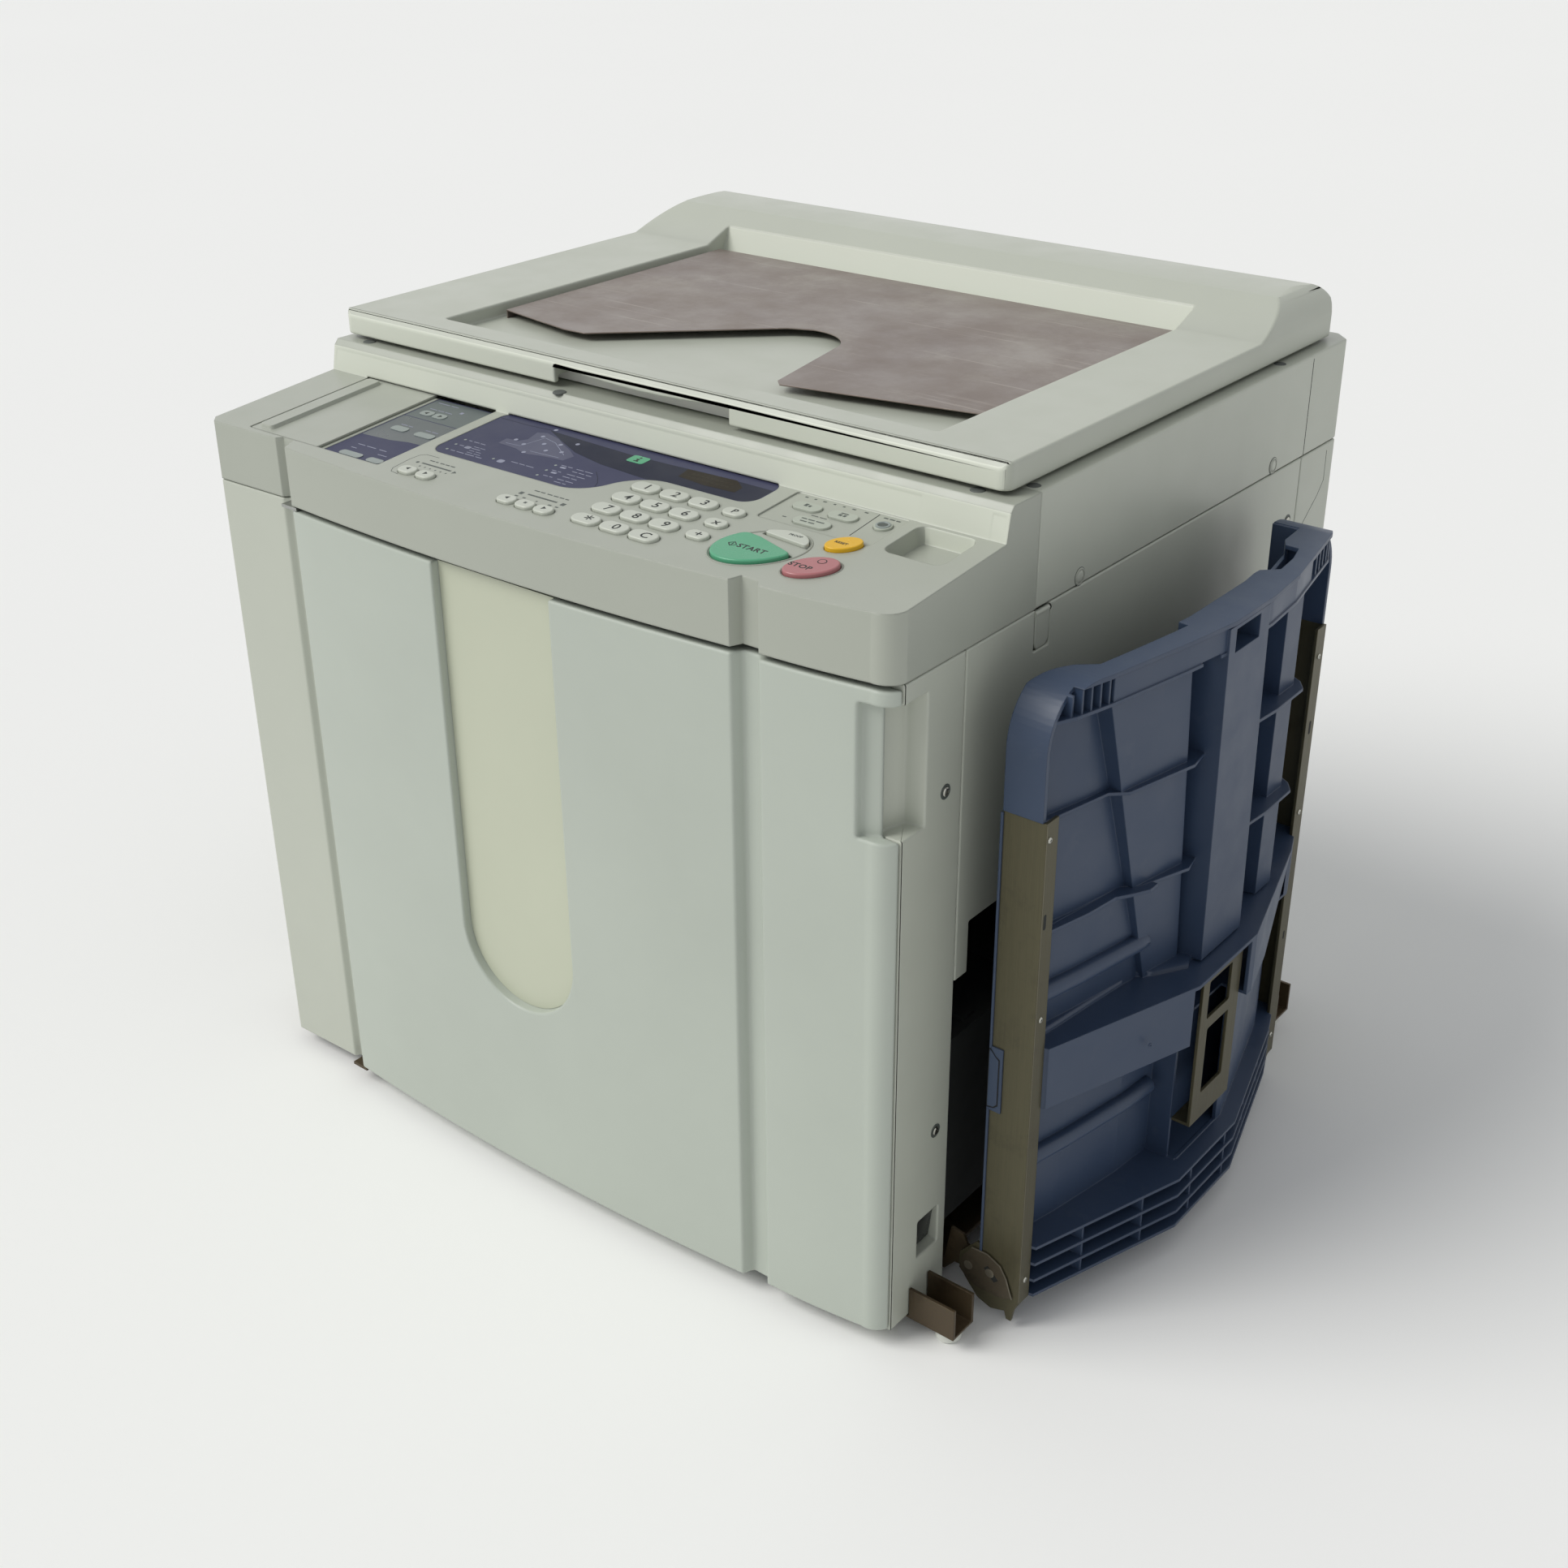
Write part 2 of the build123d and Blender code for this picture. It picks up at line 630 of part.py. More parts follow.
# Sliding cover of the function window, with its grip ridge
with BuildPart() as sub_panel_cover:
    with BuildSketch(panel_plane.offset(-1.9)):
        panel_window(-288.5, -209, -307.8, -183.6, 1.5)
    extrude(amount=1.7)
    with BuildSketch(panel_plane.offset(-0.5)):
        panel_window(-284, -268, -304, -190, 4)
    extrude(amount=3, taper=20)
keep(sub_panel_cover.part, "sub_panel_cover")

# Keys of the panel, each free to move down into its hole
for pad_row, row_y in zip(pad_names, pad_rows):
    for pad_name, column_x in zip(pad_row, pad_columns):
        with BuildPart() as pad_key:
            with BuildSketch(panel_plane.offset(-key_below)):
                slot_key(column_x, row_y, key_size)
            extrude(amount=key_below + key_above)
        keep(pad_key.part, f"key_{pad_name}")

for side_name, key_x, key_y in side_keys:
    with BuildPart() as side_key:
        with BuildSketch(panel_plane.offset(-key_below)):
            slot_key(key_x, key_y, small_key_size)
        extrude(amount=key_below + key_above)
    keep(side_key.part, f"key_{side_name}")

for arrow_name, key_x in arrow_keys:
    with BuildPart() as arrow_key:
        with BuildSketch(panel_plane.offset(-key_below)):
            slot_key(key_x, arrow_row, arrow_key_size)
        extrude(amount=key_below + key_above)
    keep(arrow_key.part, f"key_{arrow_name}")

with BuildPart() as start_key:
    with BuildSketch(panel_plane.offset(-key_below)):
        half_oval(start_side)
    extrude(amount=key_below + key_above + 0.6)
keep(start_key.part, "start_key")

with BuildPart() as proof_key:
    with BuildSketch(panel_plane.offset(-key_below)):
        half_oval(proof_side)
    extrude(amount=key_below + key_above)
keep(proof_key.part, "proof_key")

with BuildPart() as stop_key:
    with BuildSketch(panel_plane.offset(-key_below)):
        oval_key(stop_centre, stop_axes)
    extrude(amount=key_below + key_above + 0.6)
keep(stop_key.part, "stop_key")

with BuildPart() as reset_key:
    with BuildSketch(panel_plane.offset(-key_below)):
        oval_key(reset_centre, reset_axes)
    extrude(amount=key_below + key_above + 0.6)
keep(reset_key.part, "reset_key")

# Soft membrane keys and the round indicator key, pressed in flush groups
with BuildPart() as mode_keys:
    with BuildSketch(panel_plane.offset(-5)):
        for key_x, key_y, key_length in mode_keys_at:
            slot_key(key_x, key_y, (key_length, 11))
        with Locations(panel_at(*mode_dial_at)):
            Circle(6.5)
    extrude(amount=5.6)
keep(mode_keys.part, "mode_keys")

# Scanner housing with the glass's step and the two lid hinge posts
glass_window = (-222, 228, -118, 190)
post_places = (-205, 205)
with BuildPart() as scanner_housing:
    body_block(footprint.sketch, -328, 340, panel_back + 0.4, 340, upper_bottom, deck_top)
    body_block(inner_footprint.sketch, -325, 340, panel_back + 3.4, 340, upper_bottom - 1, deck_top - wall,
               Mode.SUBTRACT)
    cut_box(-322, 328, -152, -140, upper_bottom - 1, 549)
    add_box(glass_window[0] - 8, glass_window[1] + 8, glass_window[2] - 8, glass_window[3] + 8, 620, deck_top)
    cut_box(glass_window[0] + 7, glass_window[1] - 7, glass_window[2] + 7, glass_window[3] - 7, 610, 640)
    cut_box(*glass_window, 625, 640)
    for post_x in post_places:
        add_box(post_x - 12, post_x + 12, lid_axis_y - 6, lid_axis_y + 6, deck_top - 1, lid_axis_z)
        with BuildSketch(Plane.YZ.offset(post_x - 12)):
            with Locations((lid_axis_y, lid_axis_z)):
                Circle(6)
        extrude(amount=24)
        with BuildSketch(Plane.YZ.offset(post_x - 17)):
            with Locations((lid_axis_y, lid_axis_z)):
                Circle(lid_pin_radius)
        extrude(amount=34)
keep(scanner_housing.part, "scanner_housing")

# Stage glass
with BuildPart() as stage_glass:
    add_box(glass_window[0] + 0.2, glass_window[1] - 0.2, glass_window[2] + 0.2, glass_window[3] - 0.2,
            625, 628.8)
keep(stage_glass.part, "stage_glass")

# Base of the scanner table with the carriage's guide bar
guide_y = -125
guide_z = 578
with BuildPart() as scanner_base:
    add_box(-320, 326, -300, 318, 546, 548.5)
    add_box(-320, 326, 315.5, 318, 548, 570)
    for stand_x in (-300, 300):
        add_box(stand_x, stand_x + 3, guide_y - 9, guide_y + 9, 548, guide_z + 9)
    with BuildSketch(Plane.YZ.offset(-300)):
        with Locations((guide_y, guide_z)):
            Circle(5)
    extrude(amount=603)
keep(scanner_base.part, "scanner_base")

# Scanner carriage, which runs along the guide bar under the glass
with BuildPart() as scanner_carriage:
    add_box(-216, -180, guide_y - 12, 185, 560, 610)
    cut_box(-206, -198, -110, 180, 606, 611)
    with BuildSketch(Plane.YZ.offset(-217)):
        with Locations((guide_y, guide_z)):
            Circle(5 + running_gap)
    extrude(amount=40, mode=Mode.SUBTRACT)
keep(scanner_carriage.part, "scanner_carriage")

# Lid: a shallow tray with a raised back over the hinges
lid_recess = (-239, 246, -142, 207)
recess_floor = 641
lid_width = lid_right - lid_left
lid_middle = (lid_left + lid_right) / 2
with BuildPart() as lid:
    with BuildSketch(Plane.YZ.offset(lid_left)):
        with BuildLine():
            Polyline((lid_front, lid_bottom), (lid_front, lid_top - 5), (lid_front + 4, lid_top),
                     (185, lid_top), (240, 674))
            ThreePointArc((240, 674), (270, lid_hump_top), (295, 674))
            ThreePointArc((295, 674), (309, 668), (lid_rear, 655))
            Polyline((lid_rear, 655), (lid_rear, lid_bottom), (lid_front, lid_bottom))
        make_face()
    extrude(amount=lid_width)
    with BuildSketch(Plane.XZ.offset(-340)):
        with BuildLine():
            Polyline((lid_left, lid_bottom), (lid_left, 645))
            ThreePointArc((lid_left, 645), (lid_left + 8, 667), (lid_left + 30, 678))
            Line((lid_left + 30, 678), (lid_right - 30, 678))
            ThreePointArc((lid_right - 30, 678), (lid_right - 8, 667), (lid_right, 645))
            Polyline((lid_right, 645), (lid_right, lid_bottom), (lid_left, lid_bottom))
        make_face()
    extrude(amount=540, mode=Mode.INTERSECT)
    with BuildSketch(Plane.XY.offset(lid_bottom)):
        with Locations((lid_middle, (lid_front + lid_rear) / 2)):
            RectangleRounded(lid_width, lid_rear - lid_front, 9)
    extrude(amount=60, mode=Mode.INTERSECT)
    with BuildSketch(Plane.YZ.offset(lid_recess[0])):
        with BuildLine():
            Polyline((lid_recess[2], 690), (lid_recess[2], lid_top), (lid_recess[2] + 4, recess_floor),
                     (lid_recess[3], recess_floor), (lid_recess[3] + 12, 672), (lid_recess[3] + 12, 690),
                     (lid_recess[2], 690))
        make_face()
    extrude(amount=lid_recess[1] - lid_recess[0], mode=Mode.SUBTRACT)
    cut_box(lid_left + 5, lid_right - 5, lid_front + 5, lid_rear - 3, lid_bottom - 1, 637.5)
    cut_box(lid_left + 20, lid_right - 20, 226, lid_rear - 3, lid_bottom - 1, 666)
    for post_x in post_places:
        cut_box(post_x - 18, post_x + 18, 294, 320, lid_bottom - 1, 658)
        for lug_x in (post_x - 17.5, post_x + 12.5):
            with BuildSketch(Plane.YZ.offset(lug_x)):
                with BuildLine():
                    Polyline((299, 667), (299, 640), (303, 634.5), (310, 634.5), (lid_rear, 638),
                             (lid_rear, 657), (311, 660), (311, 667), (299, 667))
                make_face()
                with Locations((lid_axis_y, lid_axis_z)):
                    Circle(lid_pin_radius + running_gap, mode=Mode.SUBTRACT)
            extrude(amount=5)
    with BuildSketch(Plane.XZ.offset(-lid_front + 5)):
        with BuildLine():
            Polyline((85, 646), (85, 630), (-88, 630), (-88, 646))
            ThreePointArc((-88, 646), (-2, 641), (85, 646))
        make_face()
    extrude(amount=-26, mode=Mode.SUBTRACT)
keep(lid.part, "lid")

# Sheet-metal plate that lies in the lid's recess, with two folded edges
with BuildPart() as lid_plate:
    with BuildSketch(Plane.XY.offset(647)):
        with BuildLine():
            Polyline((12, 22), (-8, 14), (-128, -96), (-150, -97), (-231, -82), (-231, 192), (242, 192),
                     (242, -82), (84, -112), (77, -105), (56, -2))
            ThreePointArc((56, -2), (40, 16), (12, 22))
        make_face()
    extrude(amount=1.2)
    add_box(-231, -229.8, -82, 192, recess_floor, 648)
    add_box(-231, 242, 190.8, 192, recess_floor, 648)
keep(lid_plate.part, "lid_plate")

# White pressure pad under the lid
with BuildPart() as lid_pad:
    add_box(-310, 300, -152, 290, 629.6, 637.5)
keep(lid_pad.part, "lid_pad")

# Receiving tray. Its shell is a trough; ribs, bands and a keel stiffen the underside, which faces outwards.
moulding_front = tray_front + 3.7
moulding_rear = tray_rear - 3.7
pan_line = ((moulding_front, tray_inner_x), (-165, 388), (-100, 400), (-60, 404), (20, 404), (60, 400),
            (125, 388), (moulding_rear, tray_inner_x))
rim_line = ((moulding_front, band_x - 2), (-205, 404), (-174, 411.6), (-97, 426), (-48, 433.5), (11, 433.5),
            (57, 429.5), (149, 411.6), (moulding_rear, band_x - 2))
keel_line = ((moulding_front, 395), (-213.2, 396.5), (-212, 402.5), (-76, keel_x), (16, keel_x), (150, 410.5),
             (172, 402), (173.2, 396.5), (moulding_rear, 395))


def wing_line(level):
    """Edge of a rib that wraps round the slanting front panel, the middle panel and the rear panel."""
    lean = (level - shelf_z) / (tray_top - shelf_z)
    corner = -85 - 85 * lean
    return ((moulding_front, 383), (corner - 10, 399), (corner, 410), (-60 - 22 * lean, 425), (-50, 421),
            (18, 428), (44, 430), (88, 429), (98, 422), (112, 400), (moulding_rear, 379))


def tray_slab(inner, outer, z0, z1, inner_shift=0, outer_shift=0, y0=-300, y1=300, mode=Mode.ADD):
    """Slab of the tray between two plan lines, over a stretch of Y."""
    with BuildSketch(Plane.XY.offset(z0)) as plan:
        with BuildLine():
            Polyline(*[(x + outer_shift, y) for y, x in outer],
                     *[(x + inner_shift, y) for y, x in reversed(inner)], close=True)
        make_face()
        with Locations((400, (y0 + y1) / 2)):
            Rectangle(200, y1 - y0, mode=Mode.INTERSECT)
    extrude(plan.sketch, amount=z1 - z0, mode=mode)


def line_x(line, y):
    """How far a plan line stands out at a place along Y."""
    for (y_start, x_start), (y_end, x_end) in zip(line, line[1:]):
        if y_start <= y <= y_end:
            return x_start + (x_end - x_start) * (y - y_start) / (y_end - y_start)
    return line[-1][1]


def raised_panel(corners, x_in, x_out):
    """Raised panel on the tray's underside, narrower towards its face."""
    with BuildSketch(Plane.YZ.offset(x_in)) as base:
        with BuildLine():
            Polyline(*corners, close=True)
        make_face()
    extrude(base.sketch, amount=x_out - x_in, taper=4)


def round_rib(z, y0, y1, radius):
    """Round bar that lies against the tray's pan."""
    points = [(y, x) for y, x in pan_line if y0 < y < y1]
    ends = [(y0, line_x(pan_line, y0)), *points, (y1, line_x(pan_line, y1))]
    with BuildLine() as path:
        Polyline(*[(x + 5, y, z) for y, x in ends])
    with BuildSketch(Plane(origin=path.line @ 0, z_dir=path.line % 0)) as end:
        Circle(radius)
    sweep(end.sketch, path=path.line, transition=Transition.RIGHT)


def tray_face(grow=0, mode=Mode.ADD):
    """Outline of the tray seen from the right: two rounded corners at the top."""
    with BuildSketch(mode=Mode.PRIVATE) as face:
        with BuildLine():
            Line((tray_front, tray_bottom - 5), (tray_front, tray_top - 45))
            RadiusArc((tray_front, tray_top - 45), (tray_front + 45, tray_top), 45)
            Line((tray_front + 45, tray_top), (tray_rear - 45, tray_top))
            RadiusArc((tray_rear - 45, tray_top), (tray_rear, tray_top - 45), 45)
            Polyline((tray_rear, tray_top - 45), (tray_rear, tray_bottom - 5), (tray_front, tray_bottom - 5))
        make_face()
        if grow:
            offset(amount=grow)
    add(face.sketch, mode=mode)


# The front raised panel leans over and its face follows the slanting rim
with BuildPart() as slanting_panel:
    with BuildSketch(Plane.YZ.offset(386)):
        with BuildLine():
            Polyline((-92, shelf_z), (-170, 528), (-84, 528), (-54, shelf_z), (-92, shelf_z))
        make_face()
    extrude(amount=60)
    split(bisect_by=Plane(origin=(420, -80, 506), z_dir=(1, -0.19, -0.035)), keep=Keep.BOTTOM)

lip_z = 506
wing_levels = (338, 425)
grid_levels = (tray_bottom, 40, 55.5, 71)
grid_ribs = (-166, -109, -52, 4, 60, 116)
slot_ribs = (-208, -200, -192, -184, -176, 112, 122, 132, 142, 152, 162)
fence_pivot_x = 386
end_fence_z = 497
side_fence_reach = 118
with BuildPart() as receiving_tray:
    tray_slab(pan_line, pan_line, tray_bottom, tray_top, 0, 3)
    tray_slab(pan_line, rim_line, tray_top - 3.5, tray_top)
    tray_slab(pan_line, rim_line, lip_z, lip_z + 2.5, 0, -0.5)
    tray_slab(rim_line, rim_line, lip_z, tray_top, -4, -1.5, -172, 100)
    for rib_y in slot_ribs:
        add_box(line_x(pan_line, rib_y), line_x(rim_line, rib_y) - 1.5, rib_y - 0.9, rib_y + 0.9,
                lip_z, tray_top)
    for level in grid_levels:
        tray_slab(pan_line, keel_line, level, level + 2.5)
    for rib_y in grid_ribs:
        add_box(line_x(pan_line, rib_y), line_x(keel_line, rib_y) - 2, rib_y - 1.1, rib_y + 1.1,
                tray_bottom, grid_levels[-1] + 2)
    tray_slab(keel_line, keel_line, grid_levels[-1], 202, -17, -14, -56, tray_rear)
    add_box(404, line_x(keel_line, -56) - 15, -58.5, -56, grid_levels[-1], 202)
    tray_slab(keel_line, keel_line, 200, shelf_z, -3, 0)
    tray_slab(pan_line, keel_line, shelf_z - 3, shelf_z)
    tray_slab(pan_line, keel_line, 200, 202.5)
    for level in wing_levels:
        tray_slab(pan_line, wing_line(level), level, level + 2.5)
    tray_slab(pan_line, wing_line(shelf_z), shelf_z, shelf_z + 4, 0, 4, -230, -40)
    add(slanting_panel.part)
    raised_panel(((-50, shelf_z), (-58, 528), (6, 528), (16, shelf_z)), 402, 433)
    raised_panel(((63, shelf_z), (63, 512), (92, 512), (92, shelf_z)), 392, 420)
    round_rib(142, -222, -68, 7)
    round_rib(285, -222, -92, 7)
    tray_slab(pan_line, pan_line, tray_bottom, tray_top, -60, 0, mode=Mode.SUBTRACT)
    cut_box(395, 460, -46, -10, 505, 523)
    cut_box(414, 460, -82, -62, lip_z - 1, lip_z + 3)
    cut_box(426, 460, -80, 8, 74, shelf_z - 3)
    with BuildSketch(Plane.YZ.offset(404)):
        with BuildLine():
            Polyline((66, 199), (200, 199), (200, shelf_z - 3), (142, shelf_z - 3), (66, 199))
        make_face()
    extrude(amount=60, mode=Mode.SUBTRACT)
    with BuildSketch(Plane.YZ.offset(rail_inner_x - 2)) as wall_band:
        tray_face()
        tray_face(-3.5, Mode.SUBTRACT)
        with Locations((tray_middle, rail_top + 70)):
            Rectangle(440, 140, mode=Mode.INTERSECT)
    extrude(amount=band_x - rail_inner_x + 2)
    for lug_y in (tray_middle - 59, tray_middle + 54):
        add_box(fence_pivot_x - 4, 408, lug_y, lug_y + 5, end_fence_z - 6, end_fence_z + 7)
    for side in (-1, 1):
        lug_middle = tray_middle + side * side_fence_reach
        for lug_z in (143.5, 331):
            add_box(fence_pivot_x - 4, 397, lug_middle - 5, lug_middle + 5, lug_z, lug_z + 5.5)
        with Locations((fence_pivot_x, lug_middle, 240)):
            Cylinder(2.5 + running_gap, 210, mode=Mode.SUBTRACT)
    with BuildSketch(Plane.YZ.offset(300)):
        tray_face()
    extrude(amount=200, mode=Mode.INTERSECT)
    rod(fence_pivot_x, end_fence_z, tray_middle - 60, tray_middle + 60, 2.5 + running_gap, Mode.SUBTRACT)
keep(receiving_tray.part, "receiving_tray")

# Steel of the receiving tray: the two side rails, the hinge hooks and the stop bracket on the keel
bracket_x = 440
with BuildPart() as tray_rails:
    for web_y, inward in ((tray_front + 1, 1), (tray_rear - 1, -1)):
        y_web = sorted((web_y, web_y + inward * rail_sheet))
        y_flange = sorted((web_y, web_y + inward * rail_flange))
        add_box(rail_inner_x - 2, rail_outer_x, *y_web, 52, rail_top)
        add_box(rail_outer_x - 2, rail_outer_x + 0.5, *y_flange, tray_bottom + 1, rail_top)
        with BuildSketch(Plane.XZ.offset(-y_web[0])):
            with BuildLine():
                Polyline((399, 56), (399, 27), (397, 22), (396, 20), (394, 9), (390, 9), (388, 16), (376, 12),
                         (364, 16), (352, 30), (346, 40), (347, 52), (361, 68), (399, 68), (399, 56))
            make_face()
            with Locations((tray_axis_x, tray_axis_z)):
                Circle(4 + running_gap, mode=Mode.SUBTRACT)
            with Locations((376, 50)):
                SlotOverall(17, 6, rotation=-40, mode=Mode.SUBTRACT)
        extrude(amount=-rail_sheet)
    with BuildSketch(Plane.YZ.offset(bracket_x)):
        window(-58, 4, 110, 247)
        with Locations((-30, 222)):
            RectangleRounded(36, 34, 2, mode=Mode.SUBTRACT)
        with Locations((-28, 165)):
            RectangleRounded(34, 60, 2, mode=Mode.SUBTRACT)
    extrude(amount=2.5)
    for tab_z in (110, 244.5):
        add_box(427, bracket_x + 2.5, -58, 4, tab_z, tab_z + 2.5)
keep(tray_rails.part, "tray_rails")

# End fence of the receiving tray, folded down flat
with BuildPart() as tray_end_fence:
    add_box(fence_pivot_x - 2, fence_pivot_x + 2, tray_middle - 50, tray_middle + 50, 352, end_fence_z)
    rod(fence_pivot_x, end_fence_z, tray_middle - 53.5, tray_middle + 53.5, 4)
    rod(fence_pivot_x, end_fence_z, tray_middle - 58.5, tray_middle + 58.5, 2.5)
    for slot_y in (-24, 0, 24):
        cut_box(370, 400, tray_middle + slot_y - 6, tray_middle + slot_y + 6, 370, 470)
keep(tray_end_fence.part, "tray_end_fence")

# Side fences of the receiving tray, folded flat towards each other
for fence_name, side in (("side_fence_front", -1), ("side_fence_rear", 1)):
    pivot_y = tray_middle + side * side_fence_reach
    with BuildPart() as side_fence:
        add_box(fence_pivot_x - 1.5, fence_pivot_x + 1.5, *sorted((pivot_y, pivot_y - side * 85)), 150, 330)
        for stretch, radius in ((180, 3.5), (191, 2.5)):
            with Locations((fence_pivot_x, pivot_y, 240)):
                Cylinder(radius, stretch)
        cut_box(380, 390, *sorted((pivot_y - side * 30, pivot_y - side * 70)), 180, 300)
    keep(side_fence.part, fence_name)

# Feed tray with its two paper guides, folded up against the left side
with BuildPart() as feed_tray:
    with BuildSketch(Plane.YZ.offset(feed_outer_x)):
        with Locations(((feed_front + feed_rear) / 2, (feed_bottom + feed_top) / 2)):
            RectangleRounded(feed_rear - feed_front, feed_top - feed_bottom, 18)
    extrude(amount=feed_plate)
    with BuildSketch(Plane.YZ.offset(feed_outer_x)):
        with Locations(((feed_front + feed_rear) / 2, (feed_bottom + feed_top) / 2)):
            with GridLocations(76, 81, 4, 4):
                Rectangle(70, 75)
    extrude(amount=feed_plate - 4, mode=Mode.SUBTRACT)
    for guide_y_start in (feed_front + 10, feed_rear - 13):
        with BuildSketch(Plane.XZ.offset(-guide_y_start)):
            with BuildLine():
                Polyline((-432, 230), (-432, 500), (-400, 500), (-356, 440), (-352, 425), (-352, 236),
                         (-358, 230), (-432, 230))
            make_face()
        extrude(amount=-3)
    for arm_y in (feed_front, feed_rear - 4):
        with BuildSketch(Plane.XZ.offset(-arm_y)):
            with BuildLine():
                Polyline((-442, 196), (-442, 226), (-420, 220), (-350, 217))
                ThreePointArc((-350, 217), (-338, 205), (-350, 193))
                Line((-350, 193), (-442, 196))
            make_face()
            with Locations((feed_axis_x, feed_axis_z)):
                Circle(5 + running_gap, mode=Mode.SUBTRACT)
        extrude(amount=-4)
keep(feed_tray.part, "feed_tray")
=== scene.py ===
"""Looks of a digital duplicator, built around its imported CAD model.

Sizes are given in millimetres and turned into metres where a mesh is made. The frame is the
CAD's: +X towards the paper exit, +Y towards the back, +Z up.
"""
import json
import math

import bmesh
import bpy
from mathutils import Matrix, Vector

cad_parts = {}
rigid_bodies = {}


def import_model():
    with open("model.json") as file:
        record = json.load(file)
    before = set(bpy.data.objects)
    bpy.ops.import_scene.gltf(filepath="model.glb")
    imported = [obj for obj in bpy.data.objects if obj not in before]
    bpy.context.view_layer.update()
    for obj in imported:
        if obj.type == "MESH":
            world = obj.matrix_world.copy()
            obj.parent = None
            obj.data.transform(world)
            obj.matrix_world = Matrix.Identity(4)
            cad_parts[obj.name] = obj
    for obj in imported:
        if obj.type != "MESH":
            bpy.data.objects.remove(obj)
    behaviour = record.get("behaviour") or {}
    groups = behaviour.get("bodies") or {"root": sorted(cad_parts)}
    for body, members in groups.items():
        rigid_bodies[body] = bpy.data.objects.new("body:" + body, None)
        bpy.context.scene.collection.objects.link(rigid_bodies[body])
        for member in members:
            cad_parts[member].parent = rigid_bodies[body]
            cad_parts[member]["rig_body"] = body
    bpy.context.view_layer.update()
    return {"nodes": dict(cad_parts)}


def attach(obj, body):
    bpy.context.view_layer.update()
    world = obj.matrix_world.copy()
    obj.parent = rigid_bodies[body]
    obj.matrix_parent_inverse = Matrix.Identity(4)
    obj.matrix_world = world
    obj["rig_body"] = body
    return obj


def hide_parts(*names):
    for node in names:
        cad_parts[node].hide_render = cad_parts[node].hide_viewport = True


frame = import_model()
nodes = frame["nodes"]
MM = 0.001

# Camera, solved from the photograph's edges: place in metres, angles, and lens in the photograph's pixels
CAMERA_PLACE = Vector((0.97763, -1.21887, 1.07002))
CAMERA_AZIMUTH = math.radians(38.983)
CAMERA_ELEVATION = math.radians(27.406)
CAMERA_ROLL = math.radians(-0.507)
PHOTO_SIDE = 1932
FOCAL_PIXELS = 2452.06
PRINCIPAL_POINT = (961.45, 945.01)
SENSOR = 36.0

# Control panel: Y and Z of its edges, its slope up towards the back, and the turn of its oval keys
PANEL_FRONT = (-330.5, 591.6)
PANEL_REAR = (-187.0, 604.0)
PANEL_SLOPE = math.atan2(PANEL_REAR[1] - PANEL_FRONT[1], PANEL_REAR[0] - PANEL_FRONT[0])
PANEL_TURN = Matrix.Rotation(PANEL_SLOPE, 4, "X")
PANEL_UP = PANEL_TURN.to_3x3() @ Vector((0, 0, 1))
KEY_TURN = math.radians(47)


def add_object(name, data):
    """New object of a mesh, curve, camera or light, put into the scene."""
    made = bpy.data.objects.new(name, data)
    bpy.context.scene.collection.objects.link(made)
    return made


def add_camera():
    """Camera at the photograph's place, with its angle, lens and shift."""
    right = Vector((math.cos(CAMERA_AZIMUTH), math.sin(CAMERA_AZIMUTH), 0))
    forward = Vector((-math.sin(CAMERA_AZIMUTH) * math.cos(CAMERA_ELEVATION),
                      math.cos(CAMERA_AZIMUTH) * math.cos(CAMERA_ELEVATION),
                      -math.sin(CAMERA_ELEVATION)))
    up = right.cross(forward)
    turned_right = math.cos(CAMERA_ROLL) * right + math.sin(CAMERA_ROLL) * up
    turned_up = -math.sin(CAMERA_ROLL) * right + math.cos(CAMERA_ROLL) * up
    data = bpy.data.cameras.new("camera")
    data.sensor_width = SENSOR
    data.lens = FOCAL_PIXELS / PHOTO_SIDE * SENSOR
    data.shift_x = 0.5 - PRINCIPAL_POINT[0] / PHOTO_SIDE
    data.shift_y = PRINCIPAL_POINT[1] / PHOTO_SIDE - 0.5
    data.clip_start = 0.05
    data.clip_end = 200
    camera = add_object("camera", data)
    columns = (turned_right, turned_up, -forward)
    turn = Matrix([[column[row] for column in columns] for row in range(3)]).to_4x4()
    camera.matrix_world = Matrix.Translation(CAMERA_PLACE) @ turn
    bpy.context.scene.camera = camera


add_camera()


# Materials


def rgb(red, green, blue):
    """Display colour, 0 to 255, as linear values with alpha."""
    def linear(value):
        value /= 255
        return value / 12.92 if value <= 0.04045 else ((value + 0.055) / 1.055) ** 2.4
    return (linear(red), linear(green), linear(blue), 1.0)


def scaled(colour, factor):
    """A colour made lighter or darker."""
    return tuple(min(1.0, part * factor) for part in colour[:3]) + (1.0,)


def start_material(name):
    """New material with its node tree, shader and object coordinates."""
    material = bpy.data.materials.new(name)
    material.use_nodes = True
    tree = material.node_tree
    place = tree.nodes.new("ShaderNodeTexCoord").outputs["Object"]
    return material, tree, tree.nodes["Principled BSDF"], place


def fill(tree, node, inputs):
    """Sets inputs of a node to values, or links them where the value is another node's output."""
    for name, value in inputs.items():
        if isinstance(value, bpy.types.NodeSocket):
            tree.links.new(value, node.inputs[name])
        else:
            node.inputs[name].default_value = value


def add_node(tree, kind, inputs):
    """New shader node with some of its inputs filled."""
    node = tree.nodes.new("ShaderNode" + kind)
    fill(tree, node, inputs)
    return node


